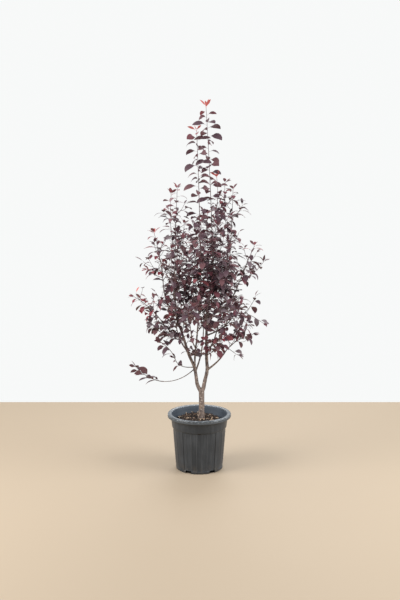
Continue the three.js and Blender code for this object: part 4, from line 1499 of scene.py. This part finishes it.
# Tones of a shoot's last leaves, from its tip back.
TIP_TONES = {
    "bright": ("young", "young", "young", "young", "rose", "wine"),
    "pink": ("rose", "mauve", "rose", "mauve", "rose", "mauve", "wine", "mauve"),
    "scarlet": ("young", "rose", "red", "rose", "red", "rose", "red", "red", "wine", "red"),
    "red": ("rose", "wine", "wine"),
    "plain": ("brown", "wine"),
    "dark": ("dark", "grey", "dark"),
}
PLAIN_TONES = (("dark", "grey"), ("dark", "brown"), ("grey", "dark"), ("brown", "dark"))
MAIN_TONE_SHARE = 0.66
# By a shoot's rank: its leaves' gap against that of a shoot that leads, how many leaves end it, how large
# those are, and the length of shoot over which a leaf gains its whole size.
LEAF_GAPS = (1, 0.9, 0.75, 0.5)
TIP_LEAVES = (4, 2, 1, 2)
TIP_SIZES = (0.6, 0.6, 0.75, 0.75)
GAIN_LENGTHS = (0.16, 0.16, 0.12, 0.12)
LAST_GAP = 0.55
LAST_LEAF = 0.985
# The least and the most that chance gives to a leaf's size, slimness, hang, and lean along its shoot.
LEAF_SIZE = (0.76, 1.12)
LEAF_SLIM = (0.86, 1.12)
LEAF_HANG = (0.85, 1.7)
LEAF_FORWARD = (0.3, 0.75)
TIP_FORWARD = (0.9, 3.6)
TIP_HANG = 0.5
YOUNG_SLIM = 0.72
# How much of its rise a stalk keeps, and what is added, on a level and on an upright shoot.
RISE_KEPT = (0.35, 0.75)
RISE_ADDED = (0.24, 0.05)
# Leaves under the first height are held as low ones, over the second as high ones.
LOFTY = (0.85, 1.35)
LOW_HANG, HIGH_HANG = 1.3, 0.95
LOW_ROLL, HIGH_ROLL = 0.65, 0.2
HIGH_SIZE = 1.16
HIGH_SLIM = 0.84
# Over this height, on the long whips, leaves keep their own size.
TOPMOST = 1.7
WHIP_BLEND = 0.12


def spray_tones(blush, random):
    """The tone of a spray, and the second tone among its leaves."""
    if random.random() < blush:
        return ("wine", "brown") if random.random() < 0.85 else ("rose", "wine")
    return PLAIN_TONES[random.integers(len(PLAIN_TONES))]


def on_whip(mass, height):
    """0 under the height where the mass is one long whip, 1 over it. Other masses are the same all over."""
    start = mass.get("whip_from", 0)
    return float(smooth_step(height, start, start + WHIP_BLEND))


def leaf_places(shoot, mass, sizes, random):
    """Lengths along a shoot at which its leaves stand, those of its tip last."""
    length = shoot.run.length
    spread = mass.get("spread", 1)
    gap = sizes.leaf_gap * LEAF_GAPS[shoot.rank] * spread
    places = [shoot.bare]
    while places[-1] + gap * LAST_GAP < length:
        close = on_whip(mass, shoot.run.at(places[-1] / length)[2])
        places.append(places[-1] + gap * between(1 / spread, 1, close) * random.uniform(0.8, 1.2))
    return [p for p in places if p < length * LAST_LEAF] + [length] * TIP_LEAVES[shoot.rank]


def held_out(run, share, turn, forward):
    """The way that a leaf's stalk points: out from the shoot, onward and a little up."""
    heading, out = turned_out(run, share, turn)
    out = unit(out + heading * forward)
    upright = abs(heading[2])
    out[2] = out[2] * between(*RISE_KEPT, upright) + between(*RISE_ADDED, upright)
    return unit(out)


def leaf_shoot(leaves, shoot, mass, sizes, random):
    """Leaves along a shoot and at its tip. The last ones on a shoot that leads are young."""
    length = shoot.run.length
    main, second = spray_tones(mass["blush"], random)
    if shoot.rank == 0:
        main, second = mass.get("spray", (main, second))
    turn = random.uniform(0, math.tau)
    places = leaf_places(shoot, mass, sizes, random)
    tips = mass.get("tips", "plain")
    young = TIP_TONES["red" if shoot.rank and tips == "bright" else tips]
    leads = shoot.rank == 0 or shoot.rank == 1 and random.random() < 0.5
    for from_tip, place in zip(reversed(range(len(places))), places):
        share = min(place / length, 1)
        left = length - place
        terminal = place >= length
        turn += GOLDEN_TURN
        forward = random.uniform(*(TIP_FORWARD if terminal else LEAF_FORWARD))
        if not terminal:
            forward += mass.get("forward", 0)
        tone = main if random.random() < MAIN_TONE_SHARE else second
        near_tip = leads and from_tip < len(young)
        if near_tip:
            tone = young[from_tip]
        base = shoot.run.at(share)
        lofty = smooth_step(base[2], *LOFTY)
        grown = min(1, TIP_SIZES[shoot.rank] + left / GAIN_LENGTHS[shoot.rank])
        arch = TIP_HANG if terminal else between(LOW_HANG, HIGH_HANG, lofty)
        hang = random.uniform(*LEAF_HANG) * arch * mass.get("hang", 1)
        slim = random.uniform(*LEAF_SLIM) * mass.get("slim", 1)
        size = grown * random.uniform(*LEAF_SIZE) * between(1, mass.get("size", 1), on_whip(mass, base[2]))
        roll = random.normal(0, mass.get("roll", between(LOW_ROLL, HIGH_ROLL, lofty)))
        roll += math.copysign(mass.get("twist", 0), roll)
        if terminal and tone == "young":
            slim *= YOUNG_SLIM
        elif base[2] < TOPMOST:
            size *= between(1, HIGH_SIZE, lofty)
            slim *= between(1, HIGH_SLIM, lofty)
        if random.random() < mass["full"] or terminal or near_tip and shoot.rank == 0:
            out = held_out(shoot.run, share, turn, forward)
            leaves.add(base=base, out=out, size=size, hang=hang, roll=roll, tone=TONES.index(tone), slim=slim)


BLADE_STATIONS = np.array([0, 0.09, 0.21, 0.36, 0.52, 0.68, 0.82, 0.93, 1])
BLADE_WIDTHS = np.array([0, 0.30, 0.64, 0.92, 1.0, 0.88, 0.60, 0.26, 0])
BLADE_COLUMNS = np.array([-1, -0.5, 0, 0.5, 1])
BEND_POWER = 1.15
FOLD = 0.22
CURL = 0.20
STALK_SIDES = 3
# Rings of the stalk: the share of its length and the radius of each. The last runs into the blade.
STALK_RINGS = ((0, 0.0009), (0.6, 0.0006), (1.12, 0.0005))


def blade_faces():
    """Corners of one leaf's faces, its upper, under and stalk faces apart, by the order of its points."""
    rows = len(BLADE_STATIONS) - 2
    wide = len(BLADE_COLUMNS)
    top = lambda r, c: 1 + r * wide + c
    under_start = 1 + rows * wide + 1
    under = lambda r, c: top(r, c) if c in (0, wide - 1) else under_start + r * (wide - 2) + c - 1
    tip = 1 + rows * wide
    upper_quads, under_quads, upper_ends, under_ends = [], [], [], []
    for c in range(wide - 1):
        for r in range(rows - 1):
            upper_quads.append((top(r, c), top(r + 1, c), top(r + 1, c + 1), top(r, c + 1)))
            under_quads.append((under(r, c), under(r, c + 1), under(r + 1, c + 1), under(r + 1, c)))
        upper_ends += [(0, top(0, c), top(0, c + 1)), (tip, top(rows - 1, c + 1), top(rows - 1, c))]
        under_ends += [(0, under(0, c + 1), under(0, c)), (tip, under(rows - 1, c), under(rows - 1, c + 1))]
    blade_points = under_start + rows * (wide - 2)
    stalk_quads, n = [], STALK_SIDES
    for ring in range(2):
        for k in range(n):
            a, b = blade_points + ring * n + k, blade_points + ring * n + (k + 1) % n
            stalk_quads.append((a, b, b + n, a + n))
    start, end = blade_points, blade_points + 2 * n
    caps = [(start + 2, start + 1, start), (end, end + 1, end + 2)]
    quads = np.array(upper_quads + under_quads + stalk_quads)
    triangles = np.array(upper_ends + under_ends + caps)
    quad_side = [0] * len(upper_quads) + [1] * (len(under_quads) + len(stalk_quads))
    triangle_side = [0] * len(upper_ends) + [1] * (len(under_ends) + len(caps))
    return quads, triangles, np.array(quad_side), np.array(triangle_side), blade_points + 3 * n


def leaf_points(leaves, sizes):
    """Points of every leaf. The midrib leaves along out and bends down, and the blade folds along it."""
    count = len(leaves["size"])
    out, base, hang = leaves["out"], leaves["base"], leaves["hang"][:, None]
    up = np.array([0, 0, 1.0])
    pitch = np.arcsin(np.clip(out[:, 2], -0.98, 0.98))[:, None]
    level = unit(out * (1, 1, 0) + 1e-6)
    across = np.cross(up, level)
    heading = np.cos(pitch) * level + np.sin(pitch) * up
    stalk = sizes.stalk * (0.5 + 0.5 * leaves["size"])
    stalk_end = base + heading * stalk[:, None]

    middles = (BLADE_STATIONS[1:] + BLADE_STATIONS[:-1]) / 2
    bends = pitch - hang * middles**BEND_POWER
    steps = np.diff(BLADE_STATIONS) * (sizes.leaf_length * leaves["size"])[:, None]
    foot = np.zeros((count, 1))
    run = np.concatenate([foot, np.cumsum(np.cos(bends) * steps, 1)], 1)
    rise = np.concatenate([foot, np.cumsum(np.sin(bends) * steps, 1)], 1)
    midrib = stalk_end[:, None] + level[:, None] * run[..., None] + up * rise[..., None]

    tilt = pitch - hang * BLADE_STATIONS**BEND_POWER
    normal = -np.sin(tilt)[..., None] * level[:, None] + np.cos(tilt)[..., None] * up
    roll = leaves["roll"][:, None, None] * np.clip(BLADE_STATIONS * 2.5, 0, 1)[None, :, None]
    side = np.cos(roll) * across[:, None] + np.sin(roll) * normal
    normal = -np.sin(roll) * across[:, None] + np.cos(roll) * normal
    half = sizes.leaf_width / 2 * leaves["size"] * leaves["slim"]
    width = (half[:, None] * BLADE_WIDTHS)[:, 1:-1, None, None]
    column = BLADE_COLUMNS[None, None, :, None]
    lift = width * (FOLD * np.abs(column) * 2 - CURL * column**2 * 2)
    inner = slice(1, -1)
    rows = midrib[:, inner, None] + side[:, inner, None] * width * column + normal[:, inner, None] * lift
    under = rows[:, :, 1:-1] - normal[:, inner, None] * sizes.leaf_thickness

    angles = math.tau * np.arange(STALK_SIDES)[:, None] / STALK_SIDES
    circle = across[:, None] * np.cos(angles) + np.cross(heading, across)[:, None] * np.sin(angles)
    rings = [(base + (stalk_end - base) * share)[:, None] + circle * thick for share, thick in STALK_RINGS]
    blade = [midrib[:, :1], rows.reshape(count, -1, 3), midrib[:, -1:], under.reshape(count, -1, 3)]
    return np.concatenate([*blade, *rings], 1)


def under_closed_sky(middles, random):
    """True for the leaves that stay, False for most of those that the camera sees in an opening."""
    eye = np.array(CAMERA_PLACE)
    nearer = eye[1] / (eye[1] - middles[:, 1])
    seen = eye + (middles - eye) * nearer[:, None]
    draws = random.random(len(middles))
    stay = np.ones(len(middles), bool)
    for x, z, half_width, half_height, share in SKY_GAPS:
        inside = ((seen[:, 0] - x) / half_width) ** 2 + ((seen[:, 2] - z) / half_height) ** 2 < 1
        stay &= ~(inside & (draws < share))
    return stay


def leaves_object(name, leaves, sizes, finishes):
    """All leaves of a piece as one mesh. The finishes go in pairs, upper and under, by tone."""
    points = leaf_points(leaves, sizes)
    quads, triangles, quad_side, triangle_side, per_leaf = blade_faces()
    shift = (np.arange(len(points)) * per_leaf)[:, None, None]
    used = sorted(set(leaves["tone"]))
    pair = np.searchsorted(used, leaves["tone"])[:, None] * 2
    finish = np.concatenate([(pair + quad_side).ravel(), (pair + triangle_side).ravel()])
    faces = [(quads[None] + shift).reshape(-1, 4), (triangles[None] + shift).reshape(-1, 3)]
    chosen = [finishes[t * 2 + s] for t in used for s in (0, 1)]
    return mesh_object(name, points, faces, chosen, sharp=math.radians(70), faces_finish=finish)


# The crown.
UNDERSIDE = (128, 84, 96)
UNDERSIDE_SHARE = 0.30
FRESH_TONES = ("young", "rose")
FRESH_UNDERSIDE_SHARE = 0.1
UNDERSIDE_SHEEN = 0.14
TWIG_SIDES = 6
TWIG_STEP = 0.008
# How far out along its stalk a leaf is tested against the limbs, and how clear of them it stays.
BLADE_PROBE = 0.03
BLADE_MARGIN = 0.0015


def leaf_finishes(colours):
    """Two finishes for each tone, of the upper side and of the paler underside."""
    finishes = []
    for tone in TONES:
        colour = np.array(getattr(colours, tone))
        share = FRESH_UNDERSIDE_SHARE if tone in FRESH_TONES else UNDERSIDE_SHARE
        under = between(colour, np.array(linear(*UNDERSIDE)), share)
        finishes += [leaf(f"leaf_{tone}", colour), leaf(f"leaf_{tone}_under", under, UNDERSIDE_SHEEN)]
    return finishes


def grown_crown(sizes):
    """Shoots and leaves by zone, and the random numbers that go on from them."""
    shoots = {zone: [] for zone in ZONES}
    leaves = {zone: Leaves() for zone in ZONES}
    for order, (name, mass) in enumerate(MASSES.items()):
        random = np.random.default_rng([sizes.seed, order])
        grown = grow_shoots(name, order)
        grown += grow_twigs(name, grown, sizes.twig_gap, random)
        shoots[mass["zone"]] += grown
        for shoot in grown:
            leaf_shoot(leaves[mass["zone"]], shoot, mass, sizes, random)
    random = np.random.default_rng([sizes.seed, len(MASSES)])
    start = LIMBS["right_leader"].run
    foot = start.at(start.share_at_height(CROSS_HEIGHT))
    crossing = Shoot(bowed(foot, CROSS_TIP, CROSS_BOW), "crossing")
    shoots["low"].append(crossing)
    leaf_shoot(leaves["low"], crossing, CROSSING, sizes, random)
    leaf_shoot(leaves["whip"], Shoot(LIMBS["left_whip"].run, "bare_whip"), BARE_WHIP, sizes, random)
    for spur in grow_spurs(random):
        zone = "middle" if spur.run.points[0, 2] > SPURS_MIDDLE else "low"
        shoots[zone].append(spur)
        leaf_shoot(leaves[zone], spur, SPUR, sizes, random)
    return shoots, leaves, random


def twig_tube(shoot, sizes):
    thick = lambda s: between(*shoot.radii, np.asarray(s, float) ** 0.8)
    knotted = swollen(thick, shoot.run.length, sizes.leaf_gap, 0.2)
    return tube(shoot.run, knotted, TWIG_SIDES, TWIG_STEP, 0.0008)


class CHERRYPLUM_OT_grow_crown(bpy.types.Operator):
    """Grows every mass by the model's rule, on to fine twigs, and leafs them"""

    bl_idname = "cherryplum.grow_crown"
    bl_label = "Grow crown"

    def execute(self, context):
        sizes = context.scene.crown_sizes
        finishes = leaf_finishes(context.scene.leaf_colours)
        twig_bark = bark("twig_bark", linear(110, 86, 80), linear(124, 104, 108), 0.7, 1.5)
        shoots, leaves, random = grown_crown(sizes)
        for zone in ZONES:
            nodes = [f"{name}_foliage" for name, mass in MASSES.items() if mass["zone"] == zone]
            tubes = [twig_tube(shoot, sizes) for shoot in shoots[zone]]
            twigs = tubes_object(f"{zone}_twigs", tubes, twig_bark)
            dress(twigs, "young_bark", *nodes)
            rows = leaves[zone].arrays()
            probe = rows["base"] + rows["out"] * BLADE_PROBE
            middles = leaf_points(rows, sizes).mean(1)
            keep = clear_of_limbs(probe, BLADE_MARGIN) & under_closed_sky(middles, random)
            rows = {field: values[keep] for field, values in rows.items()}
            blades = leaves_object(f"{zone}_leaves", rows, sizes, finishes)
            dress(blades, "foliage_red" if zone == "whip" else "foliage_purple", *nodes)
        return {"FINISHED"}


# The stage.
FLOOR_REACH = (2.6, 2.6, 1.53)
ROOM_COLOUR = (0.974, 0.986, 0.982, 1)
ROOM_LIGHT = 0.59
ROOM_GLOW = 0.37
WINDOW_SIZE = 2.6
# Where each window stands, the point that it faces, its power and its colour.
WINDOWS = {
    "left_window": ((-3.8, -1.5, 3.0), (0, 0, 0.8), 178, (1, 0.99, 0.98)),
    "right_window": ((3.8, -1.1, 2.6), (0, 0, 0.8), 142, (0.97, 0.985, 1)),
    "back_window": ((0.6, 3.4, 3.2), (0, 0, 1.2), 60, (1, 1, 1)),
}


def soft_light(name, place, target, power, colour):
    """A square lamp that looks at a point."""
    lamp = bpy.data.lights.new(name, "AREA")
    lamp.size = WINDOW_SIZE
    lamp.energy = power
    lamp.color = colour
    made = bpy.data.objects.new(name, lamp)
    made.location = place
    made.rotation_euler = (Vector(target) - Vector(place)).to_track_quat("-Z", "Y").to_euler()
    bpy.context.scene.collection.objects.link(made)


class CHERRYPLUM_OT_set_stage(bpy.types.Operator):
    """Sets the pale floor, the soft light and the camera at the photograph's angle"""

    bl_idname = "cherryplum.set_stage"
    bl_label = "Set stage"

    def execute(self, context):
        scene = context.scene
        scene.view_settings.view_transform = "Standard"
        side, front, back = FLOOR_REACH
        corners = [(-side, -front, 0), (side, -front, 0), (side, back, 0), (-side, back, 0)]
        floor = mesh_object("floor", corners, [[(0, 1, 2, 3)]], [floor_finish()], smooth=False)
        world = bpy.data.worlds.new("white_room")
        world.use_nodes = True
        scene.world = world
        graph = Graph(world.node_tree)
        seen = graph.node("ShaderNodeLightPath", output="Is Camera Ray")
        strength = ROOM_LIGHT + seen * ROOM_GLOW
        shine = graph.node("ShaderNodeBackground", None, {"Color": ROOM_COLOUR, "Strength": strength})
        graph.node("ShaderNodeOutputWorld", None, {"Surface": shine})
        for name, settings in WINDOWS.items():
            soft_light(name, *settings)
        camera = bpy.data.objects.new("camera", bpy.data.cameras.new("camera"))
        camera.data.lens = CAMERA_LENS
        camera.location = CAMERA_PLACE
        camera.rotation_euler = (math.pi / 2 - CAMERA_PITCH, 0, 0)
        scene.collection.objects.link(camera)
        scene.camera = camera
        return {"FINISHED"}


class CHERRYPLUM_PT_panel(bpy.types.Panel):
    """The cherry plum's pieces and settings"""

    bl_label = "Cherry Plum"
    bl_idname = "CHERRYPLUM_PT_panel"
    bl_space_type = "VIEW_3D"
    bl_region_type = "UI"
    bl_category = "Cherry Plum"

    def draw(self, context):
        for group in SETTINGS:
            box = self.layout.box()
            settings = getattr(context.scene, group)
            for field in settings.__annotations__:
                box.prop(settings, field)
        for operator in OPERATORS:
            self.layout.operator(operator.bl_idname)


SETTINGS = {
    "pot_sizes": PotSizes,
    "soil_sizes": SoilSizes,
    "wood_sizes": WoodSizes,
    "crown_sizes": CrownSizes,
    "leaf_colours": LeafColours,
}
OPERATORS = (
    CHERRYPLUM_OT_make_pot,
    CHERRYPLUM_OT_fill_soil,
    CHERRYPLUM_OT_grow_wood,
    CHERRYPLUM_OT_grow_crown,
    CHERRYPLUM_OT_set_stage,
)
CLASSES = (*SETTINGS.values(), *OPERATORS, CHERRYPLUM_PT_panel)


def register():
    for made in CLASSES:
        bpy.utils.register_class(made)
    for name, group in SETTINGS.items():
        setattr(bpy.types.Scene, name, PointerProperty(type=group))


def unregister():
    for name in SETTINGS:
        delattr(bpy.types.Scene, name)
    for made in reversed(CLASSES):
        bpy.utils.unregister_class(made)


def main():
    register()
    bpy.ops.cherryplum.make_pot()
    bpy.ops.cherryplum.fill_soil()
    bpy.ops.cherryplum.grow_wood()
    bpy.ops.cherryplum.grow_crown()
    bpy.ops.cherryplum.set_stage()
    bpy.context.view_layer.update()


if __name__ == "__main__":
    main()
